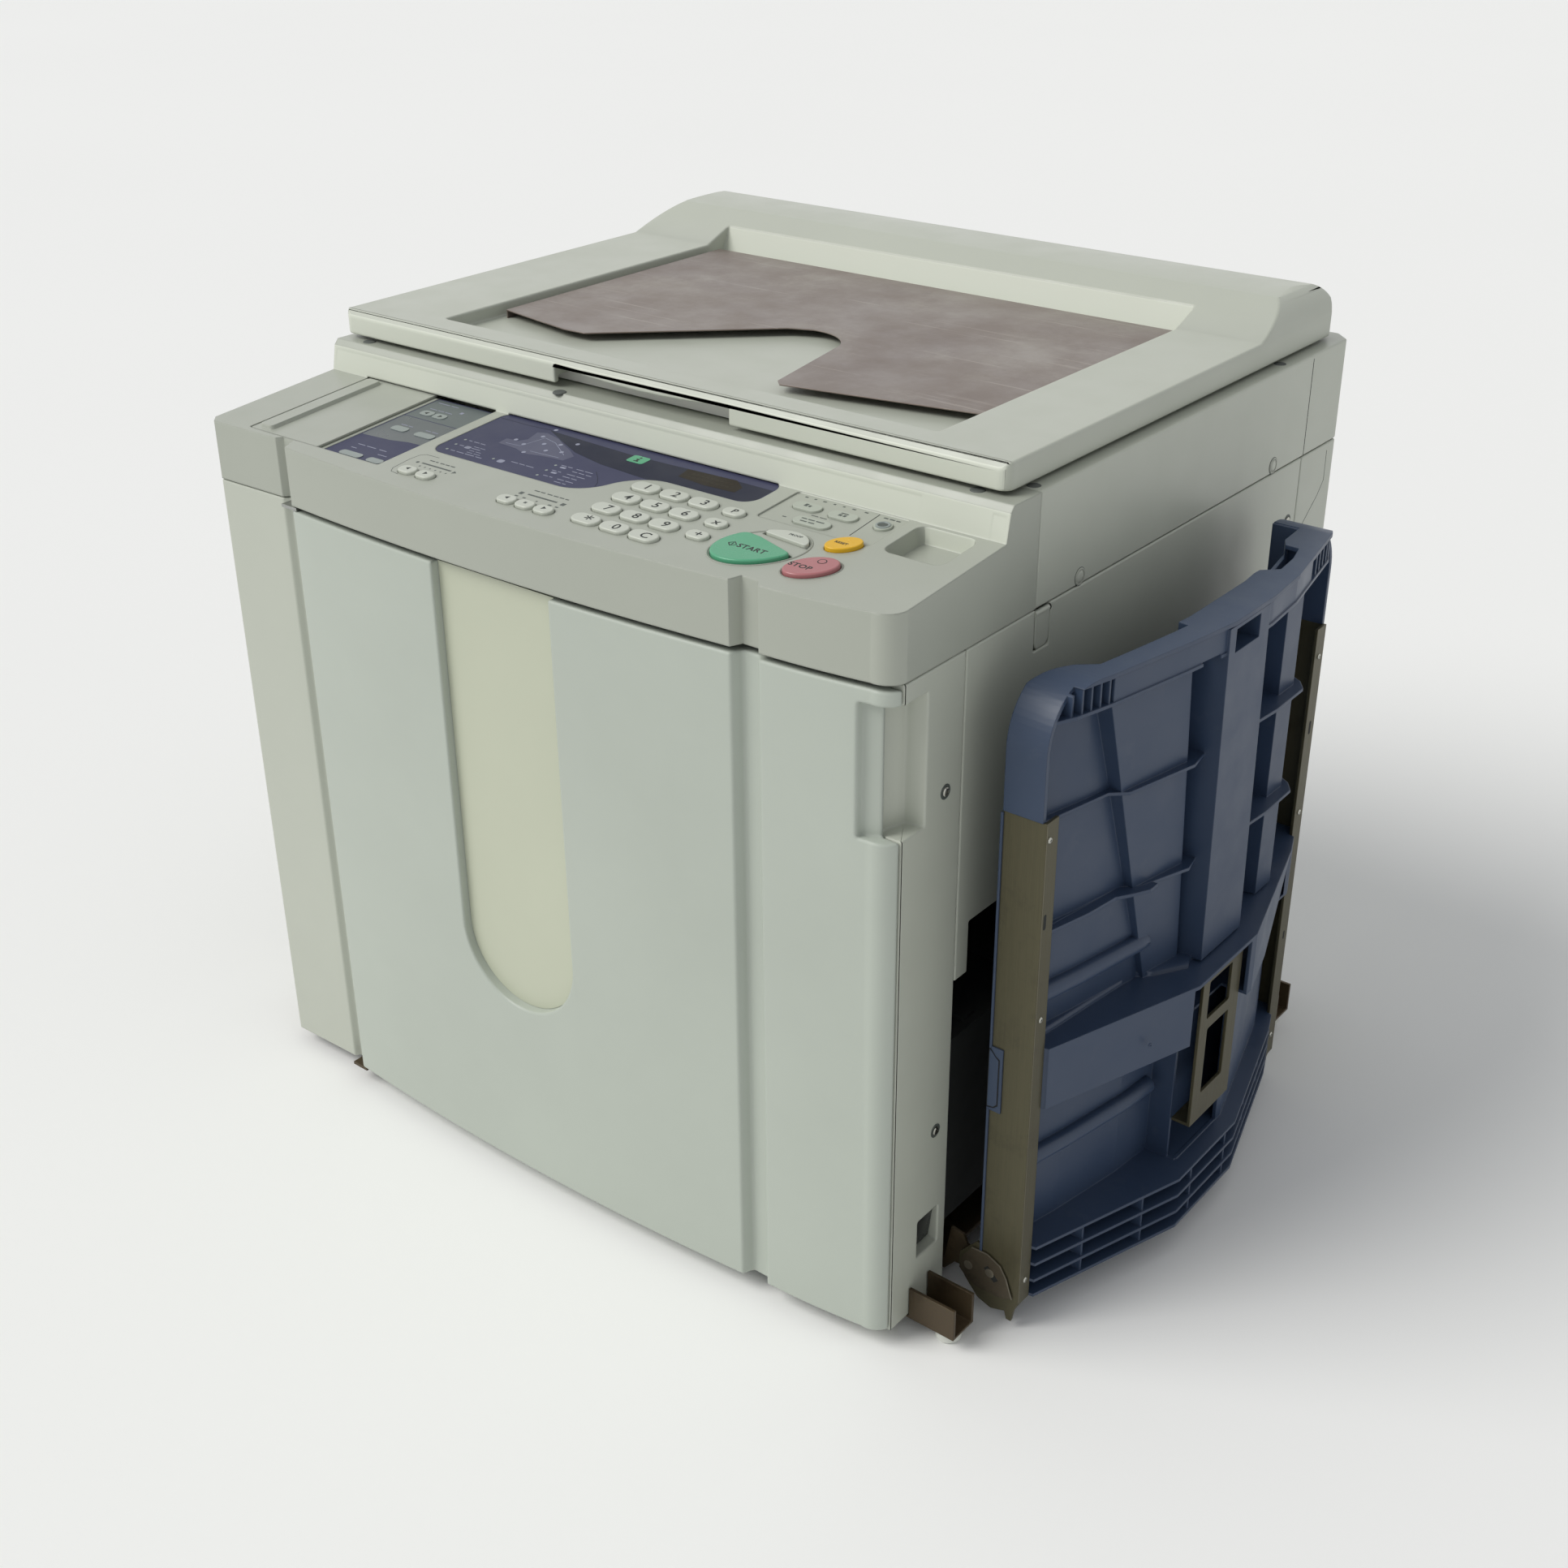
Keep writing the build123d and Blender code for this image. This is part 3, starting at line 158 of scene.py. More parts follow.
def noise(tree, place, scale, detail=3.0, roughness=0.5, stretch=None, turn=(0.0, 0.0, 0.0)):
    """Noise texture at a place, stretched and turned if asked."""
    if stretch:
        mapping = add_node(tree, "Mapping", {"Vector": place, "Scale": stretch, "Rotation": turn})
        place = mapping.outputs["Vector"]
    texture = add_node(tree, "TexNoise", {"Vector": place, "Scale": scale, "Detail": detail,
                                          "Roughness": roughness})
    return texture.outputs["Fac"]


def ramp(tree, value, low, high, out_low=0.0, out_high=1.0):
    """Maps a value's range onto another, clamped."""
    node = add_node(tree, "MapRange", {"Value": value, "From Min": low, "From Max": high, "To Min": out_low,
                                       "To Max": out_high})
    return node.outputs["Result"]


def mix(tree, factor, first, second):
    """Mix of two colours, each a socket or a value."""
    node = tree.nodes.new("ShaderNodeMix")
    node.data_type = "RGBA"
    colours = [number for number, socket in enumerate(node.inputs) if socket.type == "RGBA"]
    fill(tree, node, {"Factor": factor, colours[0]: first, colours[1]: second})
    return [socket for socket in node.outputs if socket.type == "RGBA"][0]


def rounded(tree, radius):
    """Normal of a surface whose edges are rounded by a radius in metres."""
    node = add_node(tree, "Bevel", {"Radius": radius})
    node.samples = 4
    return node.outputs["Normal"]


def add_bump(tree, shader, value, strength, distance, edge=0.0):
    """Bump of a height value on the shader, over rounded edges if asked."""
    bump = add_node(tree, "Bump", {"Height": value, "Strength": strength, "Distance": distance})
    if edge:
        fill(tree, bump, {"Normal": rounded(tree, edge)})
    fill(tree, shader, {"Normal": bump.outputs["Normal"]})


def painted_edge_highlight(tree, radius, amount):
    """Value that rises at edges, where a lighter colour is painted on as a highlight."""
    geometry = tree.nodes.new("ShaderNodeNewGeometry")
    alike = add_node(tree, "VectorMath", {0: rounded(tree, radius), 1: geometry.outputs["Normal"]})
    alike.operation = "DOT_PRODUCT"
    return ramp(tree, alike.outputs["Value"], 0.72, 0.98, amount, 0.0)


def painted_front_light(tree, place):
    """Value that is 1 on steep front-facing faces from the key panel's rear edge backwards, which get painted
    light.
    """
    panel_end = -0.211
    geometry = tree.nodes.new("ShaderNodeNewGeometry")
    parts = add_node(tree, "SeparateXYZ", {0: place})
    facing = add_node(tree, "SeparateXYZ", {0: geometry.outputs["True Normal"]})
    both = add_node(tree, "Math", {0: ramp(tree, parts.outputs["Y"], panel_end, panel_end + 0.001),
                                   1: ramp(tree, facing.outputs["Y"], -0.88, -0.84, 1.0, 0.0)})
    both.operation = "MULTIPLY"
    return both.outputs["Value"]


def plastic(name, colour, roughness, grain, bump, mottle, specular=0.35, dust=0.0, edge=0.0, edge_highlight=0.0,
            front=None):
    """Moulded plastic: fine spark-eroded grain, slow colour drift, uneven sheen and a little dust.

    The grain is a texture scale and the edge a radius in metres. The edge highlight's amount is how
    much lighter the edges are painted, a painted highlight, and front is a lighter colour painted on the
    faces of the front zone as painted light.
    """
    material, tree, shader, place = start_material(name)
    drift = ramp(tree, noise(tree, place, 5.0, 4.0, 0.6), 0.3, 0.7)
    base = mix(tree, drift, scaled(colour, 1 - mottle), scaled(colour, 1 + mottle))
    if dust:
        specks = ramp(tree, noise(tree, place, 48.0, 8.0, 0.72), 0.56, 0.74, 0.0, dust)
        base = mix(tree, specks, base, rgb(150, 152, 146))
    # Painted light: faces that look to the front get a lighter colour
    if front:
        base = mix(tree, painted_front_light(tree, place), base, front)
    # Painted highlight: the edges get a lighter colour
    if edge_highlight:
        base = mix(tree, painted_edge_highlight(tree, edge, edge_highlight), base, scaled(colour, 1.5))
    sheen = ramp(tree, noise(tree, place, 30.0, 5.0), 0.3, 0.7, roughness - 0.06, roughness + 0.06)
    fill(tree, shader, {"Base Color": base, "Roughness": sheen, "Specular IOR Level": specular})
    add_bump(tree, shader, noise(tree, place, grain, 2.0), bump, 0.0002, edge)
    return material


def metal(name, colour, roughness, stretch, wear=None, wear_amount=0.0, metallic=1.0, edge=0.0):
    """Sheet metal: streaks stretched along an axis, uneven polish and worn patches of another colour."""
    material, tree, shader, place = start_material(name)
    streaks = ramp(tree, noise(tree, place, 25.0, 4.0, 0.6, stretch), 0.3, 0.7)
    base = mix(tree, streaks, scaled(colour, 0.88), scaled(colour, 1.1))
    if wear:
        patches = ramp(tree, noise(tree, place, 22.0, 9.0, 0.72), 0.52, 0.66, 0.0, wear_amount)
        base = mix(tree, patches, base, wear)
    polish = ramp(tree, streaks, 0.0, 1.0, roughness - 0.08, roughness + 0.08)
    fill(tree, shader, {"Base Color": base, "Roughness": polish, "Metallic": metallic})
    add_bump(tree, shader, streaks, 0.06, 0.0003, edge)
    return material


def scuffed_plate(name):
    """Brown-grey painted sheet of the lid: pale scuffs, long fine scratches and dark rubs."""
    material, tree, shader, place = start_material(name)
    drift = ramp(tree, noise(tree, place, 7.0, 5.0, 0.65), 0.3, 0.7)
    base = mix(tree, drift, rgb(112, 100, 94), rgb(127, 117, 109))
    patches = ramp(tree, noise(tree, place, 13.0, 9.0, 0.68), 0.55, 0.66, 0.0, 0.4)
    base = mix(tree, patches, base, rgb(146, 139, 130))
    rubs = ramp(tree, noise(tree, place, 26.0, 8.0, 0.74, (1.0, 0.6, 1.0)), 0.62, 0.72, 0.0, 0.45)
    base = mix(tree, rubs, base, rgb(92, 78, 78))
    for turn, scale, strength in ((0.35, 3.2, 0.42), (-0.5, 2.3, 0.35), (1.1, 2.7, 0.3)):
        lines = noise(tree, place, scale, 7.0, 0.62, (1.2, 44.0, 1.0), (0.0, 0.0, turn))
        marks = ramp(tree, lines, 0.635, 0.66, 0.0, strength)
        base = mix(tree, marks, base, rgb(164, 156, 146))
    sheen = ramp(tree, noise(tree, place, 16.0, 7.0, 0.65), 0.35, 0.65, 0.3, 0.5)
    fill(tree, shader, {"Base Color": base, "Roughness": sheen, "Metallic": 0.25})
    add_bump(tree, shader, noise(tree, place, 420.0, 3.0), 0.06, 0.0002)
    return material


def see_through(name, colour):
    """Plate glass with a faint uneven film of dust on it."""
    material, tree, shader, place = start_material(name)
    film = ramp(tree, noise(tree, place, 14.0, 6.0, 0.65), 0.35, 0.7, 0.05, 0.15)
    tint = mix(tree, film, colour, scaled(colour, 0.9))
    fill(tree, shader, {"Base Color": tint, "Roughness": film, "Transmission Weight": 1.0, "IOR": 1.5})
    return material


# Plastics: roughness, grain, bump, mottle and specular level, in this order. Their edge amounts paint the
# edges lighter, a painted highlight.
body_plastic = plastic("body_plastic", rgb(184, 188, 176), 0.36, 1600.0, 0.08, 0.025, 0.5,
                       edge=0.0024, edge_highlight=0.24)
door_plastic = plastic("door_plastic", rgb(177, 184, 174), 0.34, 1600.0, 0.08, 0.03, 0.5,
                       edge=0.0028, edge_highlight=0.3)
# The front colours of the panel and lid are painted light on their front-facing faces
panel_plastic = plastic("panel_plastic", rgb(166, 170, 159), 0.34, 1600.0, 0.08, 0.025, 0.5,
                        edge=0.002, edge_highlight=0.12, front=rgb(208, 212, 199))
lid_plastic = plastic("lid_plastic", rgb(180, 184, 172), 0.36, 1600.0, 0.08, 0.025, 0.5,
                      edge=0.0024, edge_highlight=0.1, front=rgb(206, 210, 197))
cream_plastic = plastic("cream_plastic", rgb(189, 193, 173), 0.36, 1600.0, 0.05, 0.025)
key_plastic = plastic("key_plastic", rgb(192, 196, 185), 0.32, 2400.0, 0.05, 0.02, 0.5)
green_plastic = plastic("green_plastic", rgb(80, 160, 122), 0.3, 2400.0, 0.05, 0.04, 0.5)
pink_plastic = plastic("pink_plastic", rgb(172, 108, 111), 0.3, 2400.0, 0.05, 0.04, 0.5)
yellow_plastic = plastic("yellow_plastic", rgb(226, 176, 18), 0.3, 2400.0, 0.05, 0.04, 0.5)
membrane = plastic("membrane", rgb(176, 182, 170), 0.45, 2000.0, 0.05, 0.03)
display_film = plastic("display_film", rgb(66, 68, 92), 0.42, 900.0, 0.02, 0.08, 0.12)
display_dark = plastic("display_dark", rgb(36, 39, 56), 0.42, 900.0, 0.02, 0.08, 0.12)
window_grey = plastic("window_grey", rgb(100, 108, 108), 0.4, 900.0, 0.02, 0.06, 0.2)
window_key = plastic("window_key", rgb(140, 149, 146), 0.35, 900.0, 0.02, 0.05, 0.5)
window_shade = plastic("window_shade", rgb(84, 91, 94), 0.3, 900.0, 0.02, 0.06, 0.5)
lcd_brown = plastic("lcd_brown", rgb(38, 32, 24), 0.42, 900.0, 0.01, 0.1, 0.12)
lcd_cells = plastic("lcd_cells", rgb(45, 39, 29), 0.42, 900.0, 0.01, 0.1, 0.12)
tile_green = plastic("tile_green", rgb(70, 160, 118), 0.3, 900.0, 0.02, 0.05, 0.5)
print_dark = plastic("print_dark", rgb(84, 90, 86), 0.5, 1800.0, 0.02, 0.08)
print_ink = plastic("print_ink", rgb(34, 39, 38), 0.5, 1800.0, 0.02, 0.08)
print_pale = plastic("print_pale", rgb(146, 149, 168), 0.5, 1800.0, 0.02, 0.1)
print_haze = plastic("print_haze", rgb(76, 78, 102), 0.4, 1800.0, 0.02, 0.1)
pad_white = plastic("pad_white", rgb(226, 226, 220), 0.6, 700.0, 0.2, 0.02)
tray_plastic = plastic("tray_plastic", rgb(50, 65, 89), 0.4, 1500.0, 0.1, 0.05, 0.45,
                       dust=0.04, edge=0.0011, edge_highlight=0.35)
feed_plastic = plastic("feed_plastic", rgb(180, 184, 174), 0.52, 1600.0, 0.1, 0.03, edge=0.0014, edge_highlight=0.2)
foot_rubber = plastic("foot_rubber", rgb(212, 214, 206), 0.4, 900.0, 0.08, 0.03, 0.5)
pad_rubber = plastic("pad_rubber", rgb(92, 96, 93), 0.7, 1200.0, 0.2, 0.05)
roller_black = plastic("roller_black", rgb(44, 44, 44), 0.7, 1200.0, 0.15, 0.1)
film_roll = plastic("film_roll", rgb(220, 214, 196), 0.5, 800.0, 0.08, 0.04)
dark_plastic = plastic("dark_plastic", rgb(44, 46, 45), 0.5, 1500.0, 0.12, 0.12)
switch_plastic = plastic("switch_plastic", rgb(36, 38, 38), 0.3, 1500.0, 0.05, 0.1, 0.5)
# Dark of the seams, and painted shade inside slots, notches and holes
seam_and_hole_shade = plastic("seam_and_hole_shade", rgb(26, 28, 27), 0.7, 900.0, 0.05, 0.1)

# Metals: roughness, streaks' stretch, worn patches' colour and amount, and metallic share, in this order
rail_paint = metal("rail_paint", rgb(84, 80, 60), 0.4, (60.0, 60.0, 1.0), rgb(60, 55, 44), 0.35, 0.5,
                   edge=0.0009)
# Lighter steel painted along the rails' folds as a highlight, with worn patches
fold_highlight_steel = metal("fold_highlight_steel", rgb(126, 120, 98), 0.35, (60.0, 60.0, 1.0), rgb(84, 80, 62), 0.4, 0.6)
hook_steel = metal("hook_steel", rgb(84, 76, 62), 0.45, (20.0, 20.0, 20.0), rgb(46, 40, 32), 0.6, 0.5)
bracket_steel = metal("bracket_steel", rgb(132, 126, 112), 0.4, (60.0, 60.0, 1.0), rgb(96, 90, 78), 0.4, 0.7)
frame_zinc = metal("frame_zinc", rgb(170, 172, 168), 0.42, (30.0, 30.0, 30.0), rgb(128, 130, 124), 0.4)
base_steel = metal("base_steel", rgb(78, 66, 48), 0.45, (24.0, 24.0, 24.0), rgb(46, 30, 18), 0.7, 0.45,
                   edge=0.0009)
drum_screen = metal("drum_screen", rgb(176, 178, 178), 0.3, (1.0, 80.0, 1.0))
motor_black = metal("motor_black", rgb(50, 50, 50), 0.5, (8.0, 8.0, 8.0), rgb(80, 78, 74), 0.3, 0.3)
screw_zinc = metal("screw_zinc", rgb(178, 178, 170), 0.3, (1.0, 1.0, 1.0), rgb(120, 120, 112), 0.4)

lid_paint = scuffed_plate("lid_paint")
glass = see_through("glass", rgb(226, 236, 232))

KEY_NODES = ["key_%d" % number for number in range(10)] + [
    "key_star", "key_c", "key_p", "key_times", "key_plus", "key_speed_down", "key_speed_up",
    "key_position_left", "key_position_centre", "key_position_right", "proof_key"]
LOOKS = (
    (body_plastic, ("left_side_cover", "right_pillar", "right_side_cover", "rear_cover", "release_lever",
                    "scanner_housing")),
    (lid_plastic, ("lid",)),
    (panel_plastic, ("panel_housing", "sub_panel_cover")),
    (door_plastic, ("front_cover",)),
    (cream_plastic, ("cover_inset",)),
    (display_film, ("display_panel",)),
    (key_plastic, KEY_NODES),
    (green_plastic, ("start_key",)),
    (pink_plastic, ("stop_key",)),
    (yellow_plastic, ("reset_key",)),
    (membrane, ("mode_keys",)),
    (glass, ("stage_glass",)),
    (lid_paint, ("lid_plate",)),
    (pad_white, ("lid_pad",)),
    (tray_plastic, ("receiving_tray", "tray_end_fence", "side_fence_front", "side_fence_rear")),
    (rail_paint, ("tray_rails",)),
    (feed_plastic, ("feed_tray",)),
    (foot_rubber, ("feet",)),
    (frame_zinc, ("main_frame", "scanner_base")),
    (base_steel, ("base_plate",)),
    (drum_screen, ("print_drum",)),
    (roller_black, ("impression_roller", "feed_roller")),
    (film_roll, ("master_roll",)),
    (motor_black, ("drive_motor",)),
    (dark_plastic, ("mains_inlet", "exit_deck", "master_disposal_box", "scanner_carriage")),
    (switch_plastic, ("power_switch",)),
)
for look, names in LOOKS:
    for node_name in names:
        nodes[node_name].data.materials.clear()
        nodes[node_name].data.materials.append(look)


# Pieces

# Distance in metres below which points are one, and the angles above which faces count as apart
WELD = 2e-6
FLAT = math.radians(0.05)
ROUNDED = math.radians(32)
CORNER = math.radians(40)
SHARP = math.radians(50)
TURNED_SHARP = math.radians(35)
TRAY_SHARP = math.radians(15)


def body_of(node_name):
    """The CAD body that a node rides on."""
    return nodes[node_name]["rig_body"]


def finish_piece(name, mesh, material, body):
    """Object of a mesh with its material, riding on a CAD body."""
    piece = add_object(name, mesh)
    mesh.materials.clear()
    mesh.materials.append(material)
    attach(piece, body)
    return piece


def mesh_of(name, work):
    """Mesh of the faces built so far."""
    mesh = bpy.data.meshes.new(name)
    work.to_mesh(mesh)
    work.free()
    return mesh


def closed_mesh(name, work):
    """Mesh of the closed shapes built so far, with their faces turned outwards."""
    bmesh.ops.recalc_face_normals(work, faces=work.faces)
    return mesh_of(name, work)


def welded(node_name):
    """Faces of a CAD node with shared corners and whole flat faces."""
    work = bmesh.new()
    work.from_mesh(nodes[node_name].data)
    bmesh.ops.remove_doubles(work, verts=work.verts, dist=WELD)
    bmesh.ops.dissolve_limit(work, angle_limit=FLAT, verts=work.verts, edges=work.edges)
    return work


def baked(piece):
    """Mesh of an object with its modifiers applied, which are then removed."""
    bpy.context.view_layer.update()
    mesh = bpy.data.meshes.new_from_object(piece.evaluated_get(bpy.context.evaluated_depsgraph_get()))
    piece.modifiers.clear()
    return mesh


def shade(piece, material, sharp):
    """Shades a piece smoothly below an angle between faces, led by its larger faces."""
    piece.data.shade_smooth()
    piece.data.set_sharp_from_angle(angle=sharp)
    normals = piece.modifiers.new("normals", "WEIGHTED_NORMAL")
    normals.mode = "FACE_AREA"
    normals.keep_sharp = True
    piece.data = baked(piece)
    piece.data.materials.clear()
    piece.data.materials.append(material)


def stand_in(node_name, mesh):
    """Piece with a CAD node's material and body, which is to stand for the node."""
    material = nodes[node_name].data.materials[0]
    return finish_piece(mesh.name, mesh, material, body_of(node_name))


def soften(node_name, width):
    """Copy of a CAD node with its edges rounded, which stands for the node."""
    piece = stand_in(node_name, mesh_of(node_name + "_body", welded(node_name)))
    rounding = piece.modifiers.new("rounding", "BEVEL")
    rounding.width = width * MM
    rounding.segments = 2
    rounding.limit_method = "ANGLE"
    rounding.angle_limit = ROUNDED
    rounding.use_clamp_overlap = False
    rounding.miter_outer = "MITER_ARC"
    piece.data = baked(piece)
    shade(piece, nodes[node_name].data.materials[0], SHARP)
    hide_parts(node_name)


def walk(start, points, reach):
    """Point at a distance from a start along a row of points, and the number of points passed."""
    place = start
    left = reach
    for passed, point in enumerate(points):
        step = (point - place).length
        if step > left:
            return place + (point - place) * (left / step), passed
        left -= step
        place = point
    return place, len(points)


def corners_rounded(outline, reach, steps=6):
    """Closed outline with its sharp corners replaced by curves that start a distance from them."""
    count = len(outline)
    kept = set(range(count))
    curves = {}
    for corner, tip in enumerate(outline):
        if (tip - outline[corner - 1]).angle(outline[(corner + 1) % count] - tip) < CORNER:
            continue
        onward = [outline[(corner + k) % count] for k in range(1, count // 2)]
        back = [outline[(corner - k) % count] for k in range(1, count // 2)]
        end, passed_on = walk(tip, onward, reach * MM)
        start, passed_back = walk(tip, back, reach * MM)
        kept -= {(corner + k) % count for k in range(-passed_back, passed_on + 1)}
        curves[corner] = [start * (1 - t) ** 2 + tip * 2 * t * (1 - t) + end * t ** 2
                          for t in (k / steps for k in range(steps + 1))]
    points = []
    for n, point in enumerate(outline):
        if n in curves:
            points += curves[n]
        elif n in kept:
            points.append(point)
    return points


def key_cap(node_name, rim, reach):
    """Copy of a flat key, made from its outline, with rounded corners and a rounded upper rim."""
    steps = 4
    work = welded(node_name)
    top = max((face for face in work.faces if face.normal.dot(PANEL_UP) > 0.99),
              key=lambda face: face.calc_area())
    points = corners_rounded([loop.vert.co.copy() for loop in top.loops], reach)
    heights = [vert.co.dot(PANEL_UP) for vert in work.verts]
    depth = (max(heights) - min(heights)) / MM
    work.free()
    count = len(points)
    inward = []
    for n in range(count):
        before = PANEL_UP.cross((points[n] - points[n - 1]).normalized())
        after = PANEL_UP.cross((points[(n + 1) % count] - points[n]).normalized())
        middle = (before + after).normalized()
        inward.append(middle / max(0.5, middle.dot(after)))
    rings = [(0.0, depth)]
    for step in range(steps + 1):
        angle = math.pi / 2 * step / steps
        rings.append((rim * (1 - math.cos(angle)), rim * (1 - math.sin(angle))))
    verts = [(point + way * inset * MM - PANEL_UP * drop * MM)[:] for inset, drop in rings
             for point, way in zip(points, inward)]
    last = (len(rings) - 1) * count
    faces = [tuple(range(count - 1, -1, -1)), tuple(range(last, last + count))]
    for base in range(0, last, count):
        for n in range(count):
            right = (n + 1) % count
            faces.append((base + n, base + right, base + count + right, base + count + n))
    mesh = bpy.data.meshes.new(node_name + "_body")
    mesh.from_pydata(verts, [], faces)
    piece = stand_in(node_name, mesh)
    shade(piece, nodes[node_name].data.materials[0], SHARP)
    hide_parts(node_name)


def on_panel(x, y, lift=0.0):
    """Point of the panel above a place in the plan, in metres."""
    rise = (y - PANEL_FRONT[0]) * math.tan(PANEL_SLOPE) + PANEL_FRONT[1]
    return Vector((x, y - lift * math.sin(PANEL_SLOPE), rise + lift * math.cos(PANEL_SLOPE))) * MM


def raise_face(work, corners, way):
    """Closed solid between a flat face and its copy, moved by a vector."""
    face = work.faces.new([work.verts.new(corner) for corner in corners])
    copied = bmesh.ops.extrude_face_region(work, geom=[face])["geom"]
    raised = [part for part in copied if isinstance(part, bmesh.types.BMVert)]
    bmesh.ops.translate(work, vec=way, verts=raised)


def prism(name, outline, z0, z1):
    """Closed mesh of an outline in the plan between two heights, in millimetres."""
    work = bmesh.new()
    raise_face(work, [Vector((x, y, z0)) * MM for x, y in outline], Vector((0, 0, z1 - z0)) * MM)
    return closed_mesh(name, work)


def open_tray():
    """The folded tray with the wide hand opening between its rim and the machine."""
    piece = stand_in("receiving_tray", mesh_of("receiving_tray_body", welded("receiving_tray")))
    opening = ((360, -214), (365.5, -209), (373, -195), (383, -178), (396, -167), (402.5, -129), (408.5, -91),
               (410.5, -75), (401.4, -74), (401, -54), (401, -10), (402.5, 46), (414, 57), (411.5, 82),
               (406, 103), (394.6, 104), (389.7, 113), (387.3, 143), (360, 143))
    cutter = add_object("cutter", prism("cutter", opening, 519, 540))
    cut = piece.modifiers.new("opening", "BOOLEAN")
    cut.operation = "DIFFERENCE"
    cut.solver = "EXACT"
    cut.object = cutter
    piece.data = baked(piece)
    bpy.data.objects.remove(cutter)
    shade(piece, tray_plastic, TRAY_SHARP)
    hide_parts("receiving_tray")


def slab(name, outline, z0, z1, material, body):
    """Flat plate of an outline in the plan between two heights."""
    finish_piece(name, prism(name, outline, z0, z1), material, body)


def shapes(name, outlines, place, outward, material, body, thickness):
    """Thin flat shapes on a face. place turns an outline's two numbers into a point in metres."""
    work = bmesh.new()
    for outline in outlines:
        raise_face(work, [place(*corner) for corner in outline], outward * thickness * MM)
    finish_piece(name, closed_mesh(name, work), material, body)


def flat_shapes(name, outlines, lift, material, body, thickness):
    """Thin printed shapes on the panel, each an outline in the plan."""
    shapes(name, outlines, lambda x, y: on_panel(x, y, lift), PANEL_UP, material, body, thickness)


def side_shapes(name, outlines, x, material, body, thickness):
    """Thin shapes on a face that looks to the right, each an outline in Y and Z."""
    shapes(name, outlines, lambda y, z: Vector((x, y, z)) * MM, Vector((1, 0, 0)), material, body,
           thickness)


def front_shapes(name, outlines, y, material, body, thickness):
    """Thin shapes on a face that looks to the front, each an outline in X and Z."""
    shapes(name, outlines, lambda x, z: Vector((x, y, z)) * MM, Vector((0, -1, 0)), material, body,
           thickness)


def band(points, width):
    """Outline of an open line with a width."""
    left, right = [], []
    for number, point in enumerate(points):
        before = points[max(number - 1, 0)]
        after = points[min(number + 1, len(points) - 1)]
        onward = Vector((after[0] - before[0], after[1] - before[1])).normalized()
        aside = Vector((-onward.y, onward.x)) * width / 2
        left.append((point[0] + aside.x, point[1] + aside.y))
        right.append((point[0] - aside.x, point[1] - aside.y))
    return left + right[::-1]


def rectangle(x0, x1, y0, y1):
    """Outline of a rectangle."""
    return [(x0, y0), (x1, y0), (x1, y1), (x0, y1)]


def dashes(y, height, *ends):
    """A row of printed dashes, which stand in for small print. The ends are each dash's left and right."""
    spans = zip(ends[::2], ends[1::2])
    return [rectangle(left, right, y - height / 2, y + height / 2) for left, right in spans]


def lozenge(x0, x1, y0, y1, radius, steps=5):
    """Outline of a rectangle with round corners."""
    outline = []
    for centre_x, centre_y, start in ((x1 - radius, y1 - radius, 0), (x0 + radius, y1 - radius, 90),
                                      (x0 + radius, y0 + radius, 180), (x1 - radius, y0 + radius, 270)):
        for step in range(steps + 1):
            turn = math.radians(start + 90 * step / steps)
            outline.append((centre_x + radius * math.cos(turn), centre_y + radius * math.sin(turn)))
    return outline


def round_turn(step, steps):
    """Cosine and sine of one of the equal steps round a circle."""
    turn = 2 * math.pi * step / steps
    return math.cos(turn), math.sin(turn)


def disc(x, y, radius, steps=14):
    """Outline of a circle."""
    turns = [round_turn(step, steps) for step in range(steps)]
    return [(x + radius * across, y + radius * up) for across, up in turns]


def arrow(x, y, size, way):
    """Outline of a small triangle that points left (-1) or right (1)."""
    return [(x + way * size, y), (x - way * size * 0.6, y + size), (x - way * size * 0.6, y - size)]


def lettering(name, words, x, y, height, lift, material, body, stretch, weight):
    """Word or sign on the panel with capitals of a height. weight thickens its strokes."""
    capital_height = 0.72
    curve = bpy.data.curves.new(name, "FONT")
    curve.body = words
    curve.size = height / capital_height * MM
    curve.align_x = "CENTER"
    curve.align_y = "CENTER"
    curve.extrude = 0.03 * MM
    curve.offset = weight * MM
    curve.resolution_u = 3
    curve.space_character = 1.08
    holder = add_object(name, curve)
    mesh = baked(holder)
    bpy.data.objects.remove(holder)
    mesh.transform(Matrix.Translation(on_panel(x, y, lift)) @ PANEL_TURN @ Matrix.Diagonal((stretch, 1, 1, 1)))
    finish_piece(name, mesh, material, body)


def placed(place, outward):
    """Move from the origin to a point, with +Z turned outwards."""
    turn = Vector(outward).to_track_quat("Z", "Y").to_matrix().to_4x4()
    return Matrix.Translation(Vector(place) * MM) @ turn


def round_rings(work, move, profile, steps):
    """Rings of points of a turned profile, each next to the one before it."""
    turns = [round_turn(step, steps) for step in range(steps)]
    return [[work.verts.new(move @ (Vector((radius * across, radius * up, height)) * MM))
             for across, up in turns] for radius, height in profile]


def join_rings(work, rings):
    """Faces between each ring and the next."""
    for lower, upper in zip(rings, rings[1:]):
        count = len(lower)
        for step in range(count):
            following = (step + 1) % count
            work.faces.new((lower[step], lower[following], upper[following], upper[step]))


